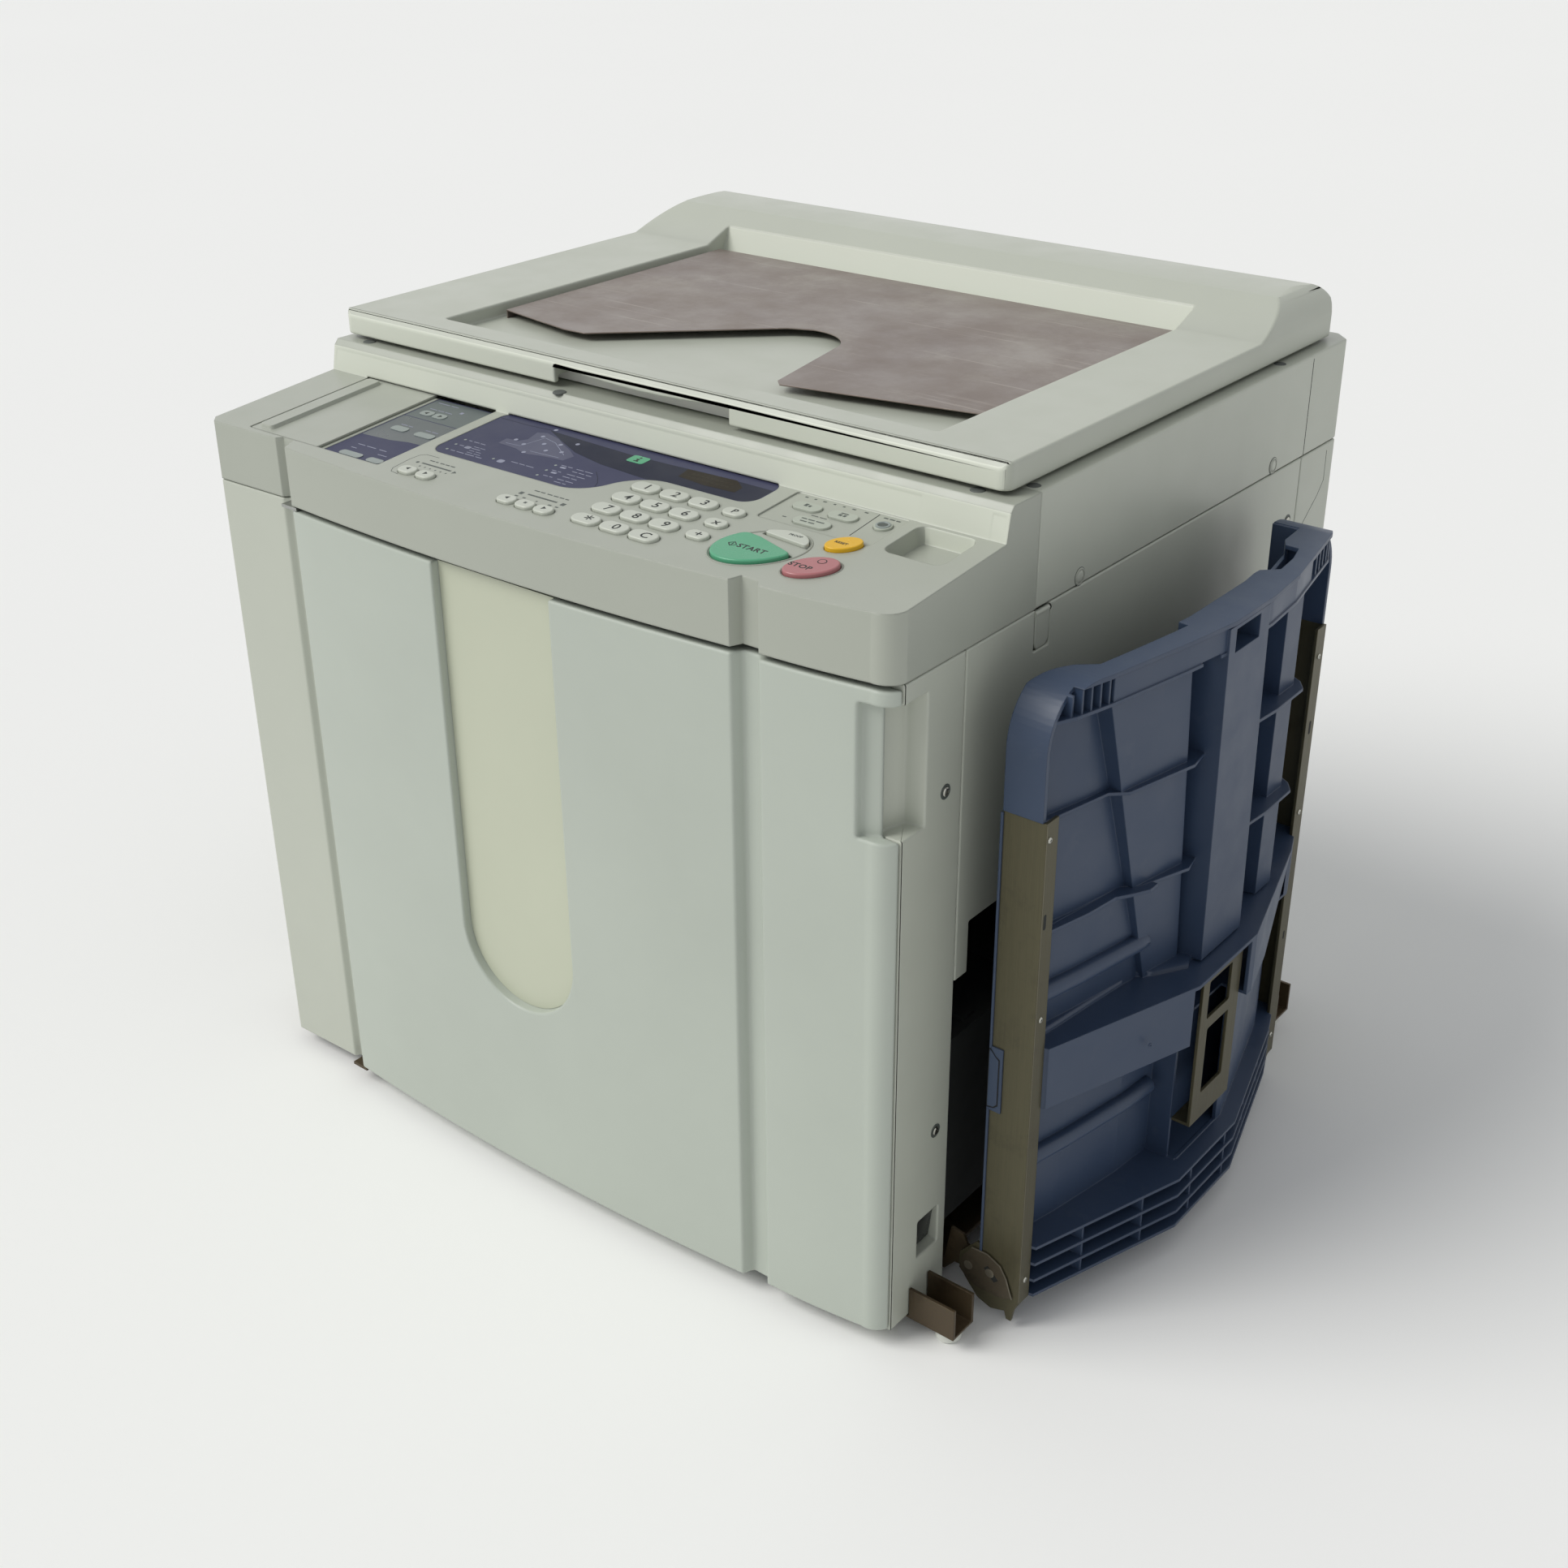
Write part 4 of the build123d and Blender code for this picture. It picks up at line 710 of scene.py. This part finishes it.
def screw_into(work, place, outward, radius, height):
    """Pan-head screw with a cross slot, added to the faces built so far. Sizes are in millimetres."""
    move = placed(place, outward)
    steps = 20
    rings = round_rings(work, move, ((radius, 0.0), (radius, height * 0.45), (radius * 0.82, height * 0.85),
                                     (radius * 0.55, height)), steps)
    join_rings(work, rings)
    arm = radius * 0.46
    thin = radius * 0.12
    cross = ((arm, -thin), (arm, thin), (thin, thin), (thin, arm), (-thin, arm), (-thin, thin),
             (-arm, thin), (-arm, -thin), (-thin, -thin), (-thin, -arm), (thin, -arm), (thin, -thin))
    top = [work.verts.new(move @ (Vector((x, y, height)) * MM)) for x, y in cross]
    bottom = [work.verts.new(move @ (Vector((x * 0.8, y * 0.8, height * 0.35)) * MM)) for x, y in cross]
    edges = [work.edges.get((rings[-1][step], rings[-1][(step + 1) % steps])) for step in range(steps)]
    edges += [work.edges.new((top[step], top[(step + 1) % len(top)])) for step in range(len(top))]
    bmesh.ops.triangle_fill(work, use_beauty=True, edges=edges, normal=move.to_3x3() @ Vector((0, 0, 1)))
    join_rings(work, (top, bottom))
    work.faces.new(bottom)


def screws(name, places, radius, height, material, body):
    """Several screws as one piece. Each place is a point and the way out of the surface."""
    work = bmesh.new()
    for place, outward in places:
        screw_into(work, place, outward, radius, height)
    finish_piece(name, closed_mesh(name, work), material, body)


def lathe(name, profile, places, material, body, steps=24):
    """Round pieces of one profile of radius and height. Each place is a point and the axis."""
    work = bmesh.new()
    for place, outward in places:
        rings = round_rings(work, placed(place, outward), profile, steps)
        join_rings(work, rings)
        work.faces.new(rings[0])
        work.faces.new(rings[-1])
    mesh = closed_mesh(name, work)
    mesh.shade_smooth()
    mesh.set_sharp_from_angle(angle=TURNED_SHARP)
    finish_piece(name, mesh, material, body)


def oval_ring(name, centre, axes, profile, material, body):
    """Ring round an oval key. The profile gives how far out and how high each line lies."""
    work = bmesh.new()
    steps = 64
    cosine, sine = math.cos(KEY_TURN), math.sin(KEY_TURN)
    rings = []
    for outset, lift in profile:
        ring = []
        for step in range(steps):
            across, up = round_turn(step, steps)
            across *= axes[0] + outset
            up *= axes[1] + outset
            ring.append(work.verts.new(on_panel(centre[0] + across * cosine - up * sine,
                                                centre[1] + across * sine + up * cosine, lift)))
        rings.append(ring)
    join_rings(work, rings + rings[:1])
    mesh = closed_mesh(name, work)
    mesh.shade_smooth()
    finish_piece(name, mesh, material, body)


# Rounded edges of the mouldings and keys, in millimetres
SOFT_EDGES = (
    ("left_side_cover", 1.2), ("right_pillar", 1.2), ("right_side_cover", 1.0), ("rear_cover", 1.0),
    ("front_cover", 1.5), ("scanner_housing", 1.2), ("lid", 1.6), ("release_lever", 0.6), ("mode_keys", 0.5),
    ("lid_plate", 0.4), ("power_switch", 0.5))
KEY_RIM = 1.2
KEY_CORNER = 1.0
KEY_CAPS = (("stop_key", 1.4, KEY_CORNER), ("reset_key", 1.0, KEY_CORNER), ("start_key", 1.4, 5.0),
            ("proof_key", 0.8, 4.5))
for node_name, edge_width in SOFT_EDGES:
    soften(node_name, edge_width)
for node_name in KEY_NODES:
    if node_name != "proof_key":
        key_cap(node_name, KEY_RIM, KEY_CORNER)
for node_name, rim_width, corner_reach in KEY_CAPS:
    key_cap(node_name, rim_width, corner_reach)
open_tray()

# Bodies that most of the small pieces ride on
TABLE = body_of("panel_housing")
TRAY = body_of("receiving_tray")

# Heights of printed surfaces above the panel's face
KEY_TOP = 2.42
OVAL_KEY_TOP = 3.02
MEMBRANE_TOP = 0.61
DISPLAY = -0.3
WINDOW = -2.5
RECESS = -1.0
PRINT_LIFT = 0.01


def on_display(name, lift, material, thickness, outlines):
    """Shapes printed on the film of the indicator window."""
    flat_shapes(name, outlines, DISPLAY + lift, material, TABLE, thickness)


def on_window(name, lift, material, thickness, outlines):
    """Shapes printed on the film of the function window."""
    flat_shapes(name, outlines, WINDOW + lift, material, TABLE, thickness)


def on_cover(name, lift, material, thickness, outlines):
    """Shapes printed on the panel's moulding."""
    flat_shapes(name, outlines, lift + PRINT_LIFT, material, TABLE, thickness)


def on_key(name, key, lift, material, thickness, outlines):
    """Shapes printed on a key, which move with it."""
    flat_shapes(name, outlines, lift, material, key + "_body", thickness)


def key_word(key, words, x, y, height, lift, material, stretch=1.0, weight=0.14):
    """Word or sign on a key, which moves with it."""
    name = "legend_" + key.removeprefix("key_").removesuffix("_key")
    lettering(name, words, x, y, height, lift, material, key + "_body", stretch, weight)


# Legends of the keys
COLUMNS = (66.5, 93.0, 119.5)
ROWS = (-240.0, -260.5, -281.0, -301.5)
PAD = (("1", "2", "3"), ("4", "5", "6"), ("7", "8", "9"), ("star", "0", "c"))
SIGNS = {"star": "*", "c": "C"}
for row, row_y in zip(PAD, ROWS):
    for key, column_x in zip(row, COLUMNS):
        drop, height = (1.8, 10.5) if key == "star" else (0.6, 7.6)
        key_word("key_" + key, SIGNS.get(key, key), column_x + 2.0, row_y - drop, height, KEY_TOP, print_ink,
                 1.12)
for key, sign, key_x, key_y, height in (("p", "P", 148.5, -241.0, 5.8), ("times", "x", 149.5, -261.0, 7.2),
                                        ("plus", "+", 151.0, -282.0, 7.6)):
    key_word("key_" + key, sign, key_x, key_y, height, KEY_TOP, print_ink, 1.1)
for key, key_x, way in (("speed_down", -109.5, -1), ("speed_up", -91.0, 1), ("position_left", -6.5, -1),
                        ("position_right", 29.5, 1)):
    on_key("legend_" + key, "key_" + key, KEY_TOP, print_ink, 0.06,
           [arrow(key_x, -305.0, 2.1, way)])
on_key("legend_position_centre", "key_position_centre", KEY_TOP, print_dark, 0.06,
       [rectangle(10.3, 12.7, -306.2, -303.8)])
key_word("start_key", "START", 197.5, -282.5, 5.2, OVAL_KEY_TOP, print_ink, 1.05, 0.2)
key_word("stop_key", "STOP", 240.5, -286.0, 4.9, OVAL_KEY_TOP, print_ink, 1.05, 0.18)
key_word("reset_key", "RESET", 242.5, -245.0, 2.6, OVAL_KEY_TOP, print_ink)
key_word("proof_key", "PROOF", 209.0, -250.5, 2.3, KEY_TOP, print_dark)

# Indicator window: the film's shades, the pictogram, lamps, small print, tile and character display
on_display("display_shade", 0.0, display_dark, 0.03, [
    [(-73.6, -193.5), (-48.3, -205.9), (-26.5, -215.8), (5.1, -222.6), (41.0, -225.5), (56.0, -226.5),
     (72.0, -222.3), (132.0, -222.3), (141.0, -220.0), (145.6, -214.0), (146.0, -196.0), (90.8, -195.6),
     (47.1, -197.4), (11.6, -197.9), (-40.5, -195.4)]])
on_display("display_seam", 0.04, display_dark, 0.02, [
    band([(-126.5, -194.0), (-93.4, -194.4), (-72.3, -192.6)], 0.5),
    band([(12.7, -234.6), (20.7, -241.5), (27.5, -249.0), (30.5, -255.0)], 0.5)])
on_display("display_pictogram", 0.04, print_haze, 0.02, [
    [(-91.0, -231.5), (-91.8, -222.0), (-80.2, -220.9), (-76.0, -215.0), (-79.5, -201.5), (-71.3, -198.8),
     (-56.0, -202.8), (-44.0, -209.5), (-33.0, -214.5), (-21.5, -222.0), (-23.5, -232.0), (-35.3, -232.6),
     (-43.9, -233.6), (-57.4, -236.8), (-71.3, -233.0), (-80.2, -232.0)]])
on_display("display_pictogram_lines", 0.06, print_pale, 0.02, [
    band([(-86.0, -228.5), (-72.0, -227.5), (-66.0, -206.5)], 0.45),
    band([(-66.0, -206.5), (-52.0, -210.0), (-30.0, -224.0)], 0.45),
    band([(-58.0, -231.0), (-30.0, -229.5)], 0.45)])
LAMPS = ((-69.9, -191.1), (-69.5, -205.6), (-58.3, -215.8), (-48.0, -224.6), (-35.3, -220.9), (-83.5, -220.3),
         (-71.7, -223.9), (-60.6, -235.1), (-46.0, -210.8), (-35.4, -203.5))
on_display("display_lamps", 0.08, print_pale, 0.12, [disc(x, y, 1.75) for x, y in LAMPS])
SIGNALS = ((-117.9, -240.0), (-117.7, -249.9), (-116.9, -259.8), (-71.6, -255.6), (-21.8, -241.0),
           (-21.4, -251.0), (-21.1, -260.9))
on_display("display_signals", 0.04, window_key, 0.08, [disc(x, y, 1.15, 10) for x, y in SIGNALS])
on_display("display_small_print", 0.04, print_pale, 0.02, (
    dashes(-239.7, 0.9, -114.0, -110.5, -108.5, -103.0, -101.5, -96.5)
    + dashes(-246.5, 0.7, -101.6, -96.0, -95.0, -89.5)
    + dashes(-249.6, 0.9, -113.8, -109.4, -107.5, -102.8, -101.0, -92.0)
    + dashes(-253.2, 0.7, -100.0, -94.5, -93.0, -87.5)
    + dashes(-259.8, 0.9, -112.8, -108.4, -106.5, -99.0, -97.5, -88.0, -86.5, -80.0)
    + dashes(-256.6, 0.7, -99.0, -93.0, -91.5, -85.0)
    + dashes(-252.6, 0.8, -55.8, -49.0, -47.5, -42.0, -40.5, -33.0)
    + dashes(-238.6, 0.8, -18.2, -13.0, -11.5, -7.0, -3.0, 4.0, 5.5, 13.0)
    + dashes(-243.2, 0.8, -3.0, 2.0, 3.5, 9.0, 10.5, 16.0)
    + dashes(-248.6, 0.8, -18.0, -13.5, -12.0, -9.0, -3.0, 5.0, 6.5, 14.5)
    + dashes(-253.2, 0.8, -3.0, 4.0, 5.5, 11.0)
    + dashes(-258.6, 0.8, -17.0, -12.5, -11.0, -8.0, -3.0, 3.5, 5.0, 12.5)
    + dashes(-263.0, 0.8, -2.0, 4.5, 6.0, 9.5)
    + [lozenge(-66.5, -60.5, -258.5, -253.5, 1.6), lozenge(-107.5, -102.0, -252.0, -248.0, 1.2),
       lozenge(-16.5, -11.0, -242.8, -240.4, 0.8), lozenge(-15.8, -10.5, -253.0, -250.6, 0.8)]))
on_display("display_tile", 0.04, tile_green, 0.14, [lozenge(16.6, 32.4, -208.0, -196.6, 2.2)])
on_display("display_tile_sign", 0.18, print_ink, 0.03, [
    disc(24.6, -199.3, 1.1, 10),
    [(22.6, -201.4), (25.6, -201.4), (25.6, -204.6), (26.8, -204.6), (26.8, -205.9), (22.4, -205.9),
     (22.4, -204.6), (23.6, -204.6), (23.6, -202.6), (22.6, -202.6)]])
on_display("display_characters", 0.04, lcd_brown, 0.04, [
    [(68.0, -197.0), (112.5, -195.0), (123.5, -203.0), (124.0, -212.2), (97.0, -213.4), (70.5, -210.6)]])
CELL_STARTS = [76.0 + 4.4 * number for number in range(9)]
on_display("display_characters_rows", 0.09, lcd_cells, 0.02, [
    rectangle(start, start + 3.2, row_y - 1.2, row_y + 1.2)
    for row_y in (-202.0, -207.4) for start in CELL_STARTS])

# Function window: its shades, flat keys and small print
on_window("window_field_upper", 0.0, window_grey, 0.03, [rectangle(-203.6, -142.9, -223.6, -187.5)])
on_window("window_field_lower", 0.0, window_shade, 0.03, [
    [(-203.6, -224.6), (-142.9, -224.6), (-142.9, -261.5), (-158.0, -262.6), (-174.0, -266.5),
     (-203.6, -268.5)]])
on_window("window_keys", 0.03, window_key, 0.5, [
    lozenge(-196.0, -183.2, -217.6, -209.2, 3.4), lozenge(-181.9, -169.0, -217.6, -209.2, 3.4),
    lozenge(-192.5, -176.0, -250.8, -243.0, 3.0), lozenge(-166.0, -146.0, -250.8, -243.4, 3.0),
    lozenge(-190.5, -167.0, -304.5, -297.5, 3.0), lozenge(-160.0, -144.0, -304.5, -297.5, 3.0)])
on_window("window_arrows", 0.54, print_ink, 0.03, [
    arrow(-190.0, -213.4, 2.3, -1), arrow(-175.0, -213.4, 2.3, 1)])
on_window("window_small_print", 0.04, print_pale, 0.02, (
    dashes(-199.5, 3.2, -166.5, -163.5)
    + dashes(-204.5, 0.8, -196.0, -188.0, -186.5, -180.0, -178.5, -171.0)
    + dashes(-192.5, 0.9, -199.0, -186.0, -184.0, -176.0)
    + dashes(-238.8, 0.9, -163.5, -158.0, -156.5, -150.0)
    + dashes(-239.2, 0.9, -191.0, -184.0, -182.5, -178.0)
    + dashes(-284.0, 0.9, -190.0, -182.0, -180.0, -170.0, -166.0, -158.0)
    + dashes(-291.0, 0.9, -190.0, -184.0, -160.0, -150.0)))

# Printing on the panel round the speed and position keys
on_cover("speed_print", 0.0, print_dark, 0.04, (
    dashes(-282.6, 1.3, -110.5, -105.5, -104.4, -101.6, -99.6, -95.0, -94.0, -89.8, -88.6, -84.0)
    + [rectangle(-112.4, -81.5, -289.9, -288.1), arrow(-77.3, -289.8, 2.2, 1), disc(-116.6, -289.6, 1.5, 8)]
    + dashes(-294.0, 1.6, -110.2, -108.8, -104.6, -103.4, -99.2, -98.0, -93.6, -92.4, -88.0, -86.8,
             -82.4, -81.2)))
on_cover("speed_outline", 0.0, print_dark, 0.03, [
    band([(-108.0, -275.8), (-121.3, -276.2), (-125.2, -279.4), (-126.4, -288.5), (-124.9, -306.6),
          (-121.4, -311.5), (-112.5, -312.9)], 0.55)])
on_cover("position_print", 0.0, print_dark, 0.04, (
    dashes(-282.4, 1.3, -2.0, 3.0, 4.2, 8.5, 10.6, 15.5, 16.8, 21.5, 22.7, 27.0, 28.2, 31.6)
    + [rectangle(-1.4, 27.1, -290.6, -288.8), rectangle(-9.0, -5.4, -292.4, -288.6),
       rectangle(31.4, 35.2, -292.0, -288.2)]
    + dashes(-295.8, 1.5, -8.6, -5.4, -0.8, 2.0, 12.2, 13.8, 24.2, 27.4, 31.0, 34.0)))

# Printing in the recess of the mode keys, and on those keys
on_cover("recess_print", RECESS, print_dark, 0.04, (
    dashes(-191.2, 1.5, 170.5, 173.0, 178.5, 180.5, 186.0, 189.0, 195.0, 197.0, 203.0, 205.0, 211.0, 214.0,
           221.5, 224.5)
    + dashes(-191.8, 1.5, 238.0, 241.5, 242.8, 247.0, 248.2, 251.6)
    + dashes(-224.5, 1.2, 176.6, 179.8)
    + dashes(-213.5, 1.0, 193.0, 199.0, 200.2, 206.0)))
on_cover("recess_divider", RECESS, print_ink, 0.04, [band([(232.6, -189.0), (234.8, -226.0)], 0.7)])
flat_shapes("mode_icons", (
    [rectangle(180.6, 183.2, -206.4, -202.6), rectangle(184.2, 186.4, -206.4, -203.8),
     rectangle(210.6, 216.8, -203.6, -202.2), rectangle(210.6, 213.4, -207.4, -204.6),
     rectangle(214.6, 216.8, -207.4, -204.6)]
    + dashes(-222.6, 1.3, 192.0, 196.5, 197.6, 203.0, 204.2, 211.0)
    + dashes(-226.4, 1.3, 193.5, 199.0, 200.4, 205.4)),
    MEMBRANE_TOP + PRINT_LIFT, print_dark, TABLE, 0.04)
DIAL = (246.5, -204.5)
DIAL_BASE = 0.6
lathe("mode_dial_ring", ((5.3, 0.0), (5.3, 0.5), (4.7, 0.75), (3.9, 0.75), (3.6, 0.3), (3.4, 0.0)),
      ((on_panel(*DIAL, DIAL_BASE) / MM, PANEL_UP),), window_key, TABLE, 28)
flat_shapes("mode_dial_eye", [disc(*DIAL, 3.5, 24)], MEMBRANE_TOP, print_dark, TABLE, 0.12)

# Signs on the start and stop keys
on_key("sign_start", "start_key", OVAL_KEY_TOP, print_ink, 0.06, [
    band([(178.0, -282.6), (181.4, -285.6), (184.8, -282.6), (181.4, -279.6), (178.0, -282.6)], 0.9)])
on_key("sign_start_line", "start_key", OVAL_KEY_TOP, print_ink, 0.06,
       [band([(181.4, -284.2), (181.4, -281.0)], 0.8)])
on_key("sign_stop", "stop_key", OVAL_KEY_TOP, print_ink, 0.05, [disc(249.0, -273.6, 3.3, 20)])
on_key("sign_stop_inner", "stop_key", OVAL_KEY_TOP + 0.04, pink_plastic, 0.05,
       [disc(249.0, -273.6, 2.6, 20)])

# Screws, plugs and seams of the right side
SIDE = 332.5
RIGHT = (1, 0, 0)
SIDE_SCREWS = [((SIDE, y, z), RIGHT) for y, z in ((-248.5, 449.0), (-246.5, 169.0), (242.2, 494.0))]
SIDE_PLUGS = [((SIDE, y, z), RIGHT) for y, z in ((-90.3, 551.3), (203.5, 552.0))]
screws("side_screws", SIDE_SCREWS, 3.4, 1.6, screw_zinc, "chassis")
lathe("screw_cups", ((5.6, 0.0), (5.6, 0.25), (4.6, 0.25), (4.2, 0.05)), SIDE_SCREWS, print_dark, "chassis")
lathe("side_plugs", ((6.4, 0.0), (6.4, 0.35), (5.8, 0.6), (5.2, 0.6), (4.9, 0.3), (4.5, 0.45), (2.0, 0.5)),
      SIDE_PLUGS, body_plastic, TABLE, 28)
lathe("side_plug_rims", ((6.9, 0.0), (6.9, 0.12), (6.4, 0.14)), SIDE_PLUGS, print_dark, TABLE,
      28)
side_shapes("rear_seam_upper", [band([(258.6, 546.0), (258.6, 626.0)], 0.9)], SIDE, seam_and_hole_shade, TABLE,
            0.08)
side_shapes("rear_cover_lines", [band([(305.0, 538.0), (305.6, 512.0), (296.0, 501.0), (272.0, 482.0)], 0.7)],
            SIDE, print_dark, "chassis", 0.08)

# Screws, slots painted as dark shade, and edge of the folded tray's rails, which lie on the outer faces of the
# flanges
RAIL = 399.5
screws("rail_screws", [((RAIL, y, z), RIGHT) for y, z in ((-224.5, 424.7), (-222.0, 281.2), (-221.0, 47.5),
                                                          (180.5, 412.8), (180.7, 270.9), (180.5, 47.0))],
       2.3, 1.4, screw_zinc, TRAY)
# The slots are dark shapes: painted shade
side_shapes("rail_slots", [
    lozenge(-225.6, -222.2, 355.0, 367.0, 1.6), lozenge(179.5, 182.9, 343.0, 355.0, 1.6),
    lozenge(180.6, 183.4, 146.0, 154.0, 1.3)], RAIL, seam_and_hole_shade, TRAY, 0.08)
# Lighter line along each rail's fold: a painted highlight
side_shapes("rail_fold_highlight", [band([(-227.6, 30.0), (-227.6, 436.0)], 0.5)], RAIL, fold_highlight_steel, TRAY,
            0.06)

# Plates that close the tray's rear end and stiffen it
slab("tray_rear_wall", ((366, 140.5), (388, 140.5), (388, 143.5), (366, 143.5)), 470, 529.5, tray_plastic,
     TRAY)
slab("tray_rib", ((372, -224), (386, -224), (400, -165), (404, -135), (412, -122), (418, -110), (418, -100),
                  (405, -100), (392, -135), (384, -165)), 337.5, 340.2, tray_plastic, TRAY)

# Front end of the tray: its edge strip with the notch, whose inside is painted shade, and the plate over the
# hinge with its slot painted as shade
STRIP_FACE = -228.2
FLANGE_FACE = -229.6
PLATE_FACE = -230.06
front_shapes("rail_edge_strip", [
    rectangle(364.6, 366.4, 62.0, 196.0), rectangle(364.6, 366.4, 247.0, 436.5),
    [(366.2, 196.0), (366.2, 194.2), (376.0, 194.2), (376.0, 248.8), (366.2, 248.8), (366.2, 247.0),
     (370.5, 242.0), (373.8, 240.0), (373.8, 200.0), (370.5, 197.0)]],
    STRIP_FACE, tray_plastic, TRAY, 1.6)
# Dark shape inside the notch: painted shade
front_shapes("rail_notch", [
    [(366.6, 246.5), (371.0, 241.6), (374.4, 239.8), (374.4, 200.2), (371.0, 196.8), (366.6, 196.5),
     (364.4, 196.5), (364.4, 246.5)]],
    FLANGE_FACE, seam_and_hole_shade, TRAY, 0.12)
front_shapes("rail_notch_tab", [
    [(366.2, 245.6), (370.2, 241.0), (372.8, 239.0), (372.8, 201.0), (370.2, 198.0), (366.2, 197.4),
     (365.0, 197.4), (365.0, 245.6)]],
    FLANGE_FACE - 0.1, tray_plastic, TRAY, 0.3)
front_shapes("hinge_plate", [
    [(358.0, 62.0), (372.0, 62.5), (383.0, 57.0), (388.5, 48.0), (394.0, 32.0), (386.0, 28.0), (366.0, 27.0),
     (356.0, 29.5), (347.5, 38.0), (350.0, 50.0)]],
    FLANGE_FACE + 0.05, hook_steel, TRAY, 0.5)
front_shapes("hinge_plate_edge", [
    band([(358.0, 62.2), (372.0, 62.7), (383.2, 57.2), (388.9, 48.0), (394.6, 31.5)], 1.1)],
    FLANGE_FACE, bracket_steel, TRAY, 0.55)
# Dark band for the hinge plate's slot: painted shade
front_shapes("hinge_slot", [band([(371.0, 50.5), (380.5, 41.0)], 5.0)], PLATE_FACE, seam_and_hole_shade, TRAY,
             0.08)
lathe("hinge_pins", ((3.8, 0.0), (3.8, 0.32), (3.2, 0.44), (1.2, 0.46)),
      [((x, PLATE_FACE, z), (0, -1, 0)) for x, z in ((355.5, 44.0), (374.6, 46.2))], bracket_steel, TRAY)
screws("keel_screw", [((436.0, -125.0, 222.0), (1, -0.35, 0))], 1.8, 1.0, tray_plastic, TRAY)

# Rubber stops on the deck under the lid
DECK = 628.0
lathe("deck_stops", ((5.4, 0.0), (5.4, 0.7), (4.7, 1.2), (2.0, 1.2)),
      [((x, y, DECK), (0, 0, 1))
       for x, y in ((-302, -171), (-77, -178), (297, -169), (322, -140), (322, 219))],
      pad_rubber, TABLE)

# Raised rims round the oval keys
oval_ring("start_rim", (197.0, -274.0), (33.0, 23.5),
          ((1.2, -0.4), (1.3, 0.35), (2.0, 0.5), (2.7, 0.35), (2.9, -0.4)), panel_plastic, TABLE)
oval_ring("stop_rim", (246.0, -281.5), (19.0, 12.5),
          ((0.9, -0.4), (1.0, 0.2), (1.6, 0.3), (2.1, 0.2), (2.2, -0.4)), panel_plastic, TABLE)


# Floor and light


def add_floor():
    """Plain pale floor, wide enough to reach past the picture."""
    reach = 40.0
    mesh = bpy.data.meshes.new("floor")
    mesh.from_pydata([(-reach, -reach, 0), (reach, -reach, 0), (reach, reach, 0), (-reach, reach, 0)], [],
                     [(0, 1, 2, 3)])
    floor = add_object("floor", mesh)
    paint, tree, shader, place = start_material("floor_paint")
    tone = mix(tree, noise(tree, place, 0.6, 2.0), (0.92, 0.92, 0.91, 1), (0.94, 0.94, 0.93, 1))
    fill(tree, shader, {"Base Color": tone, "Roughness": 0.9, "Specular IOR Level": 0.1})
    mesh.materials.append(paint)


def add_world():
    """Even studio light, and a brighter white where it is seen, mirrored or looked at through glass."""
    world = bpy.data.worlds.new("studio")
    bpy.context.scene.world = world
    world.use_nodes = True
    tree = world.node_tree
    even = tree.nodes["Background"]
    fill(tree, even, {"Color": (0.96, 0.98, 1.0, 1), "Strength": 0.48})
    white = add_node(tree, "Background", {"Color": (1, 1, 1, 1), "Strength": 0.95})
    rays = tree.nodes.new("ShaderNodeLightPath").outputs
    passed_on = add_node(tree, "Math", {0: rays["Is Glossy Ray"], 1: rays["Is Transmission Ray"]})
    seen = add_node(tree, "Math", {0: rays["Is Camera Ray"], 1: passed_on.outputs[0]})
    seen.operation = passed_on.operation = "MAXIMUM"
    blend = add_node(tree, "MixShader", {0: seen.outputs[0], 1: even.outputs[0], 2: white.outputs[0]})
    fill(tree, tree.nodes["World Output"], {"Surface": blend.outputs[0]})


def add_sun():
    """Soft light from the front left, like a wide window's."""
    data = bpy.data.lights.new("window_light", "SUN")
    data.energy = 2.0
    data.angle = math.radians(35)
    data.color = (1.0, 0.99, 0.96)
    sun = add_object("window_light", data)
    sun.rotation_euler = Vector((-0.46, -0.55, 0.7)).to_track_quat("Z", "Y").to_euler()


add_floor()
add_world()
add_sun()
bpy.context.scene.view_settings.view_transform = "Standard"
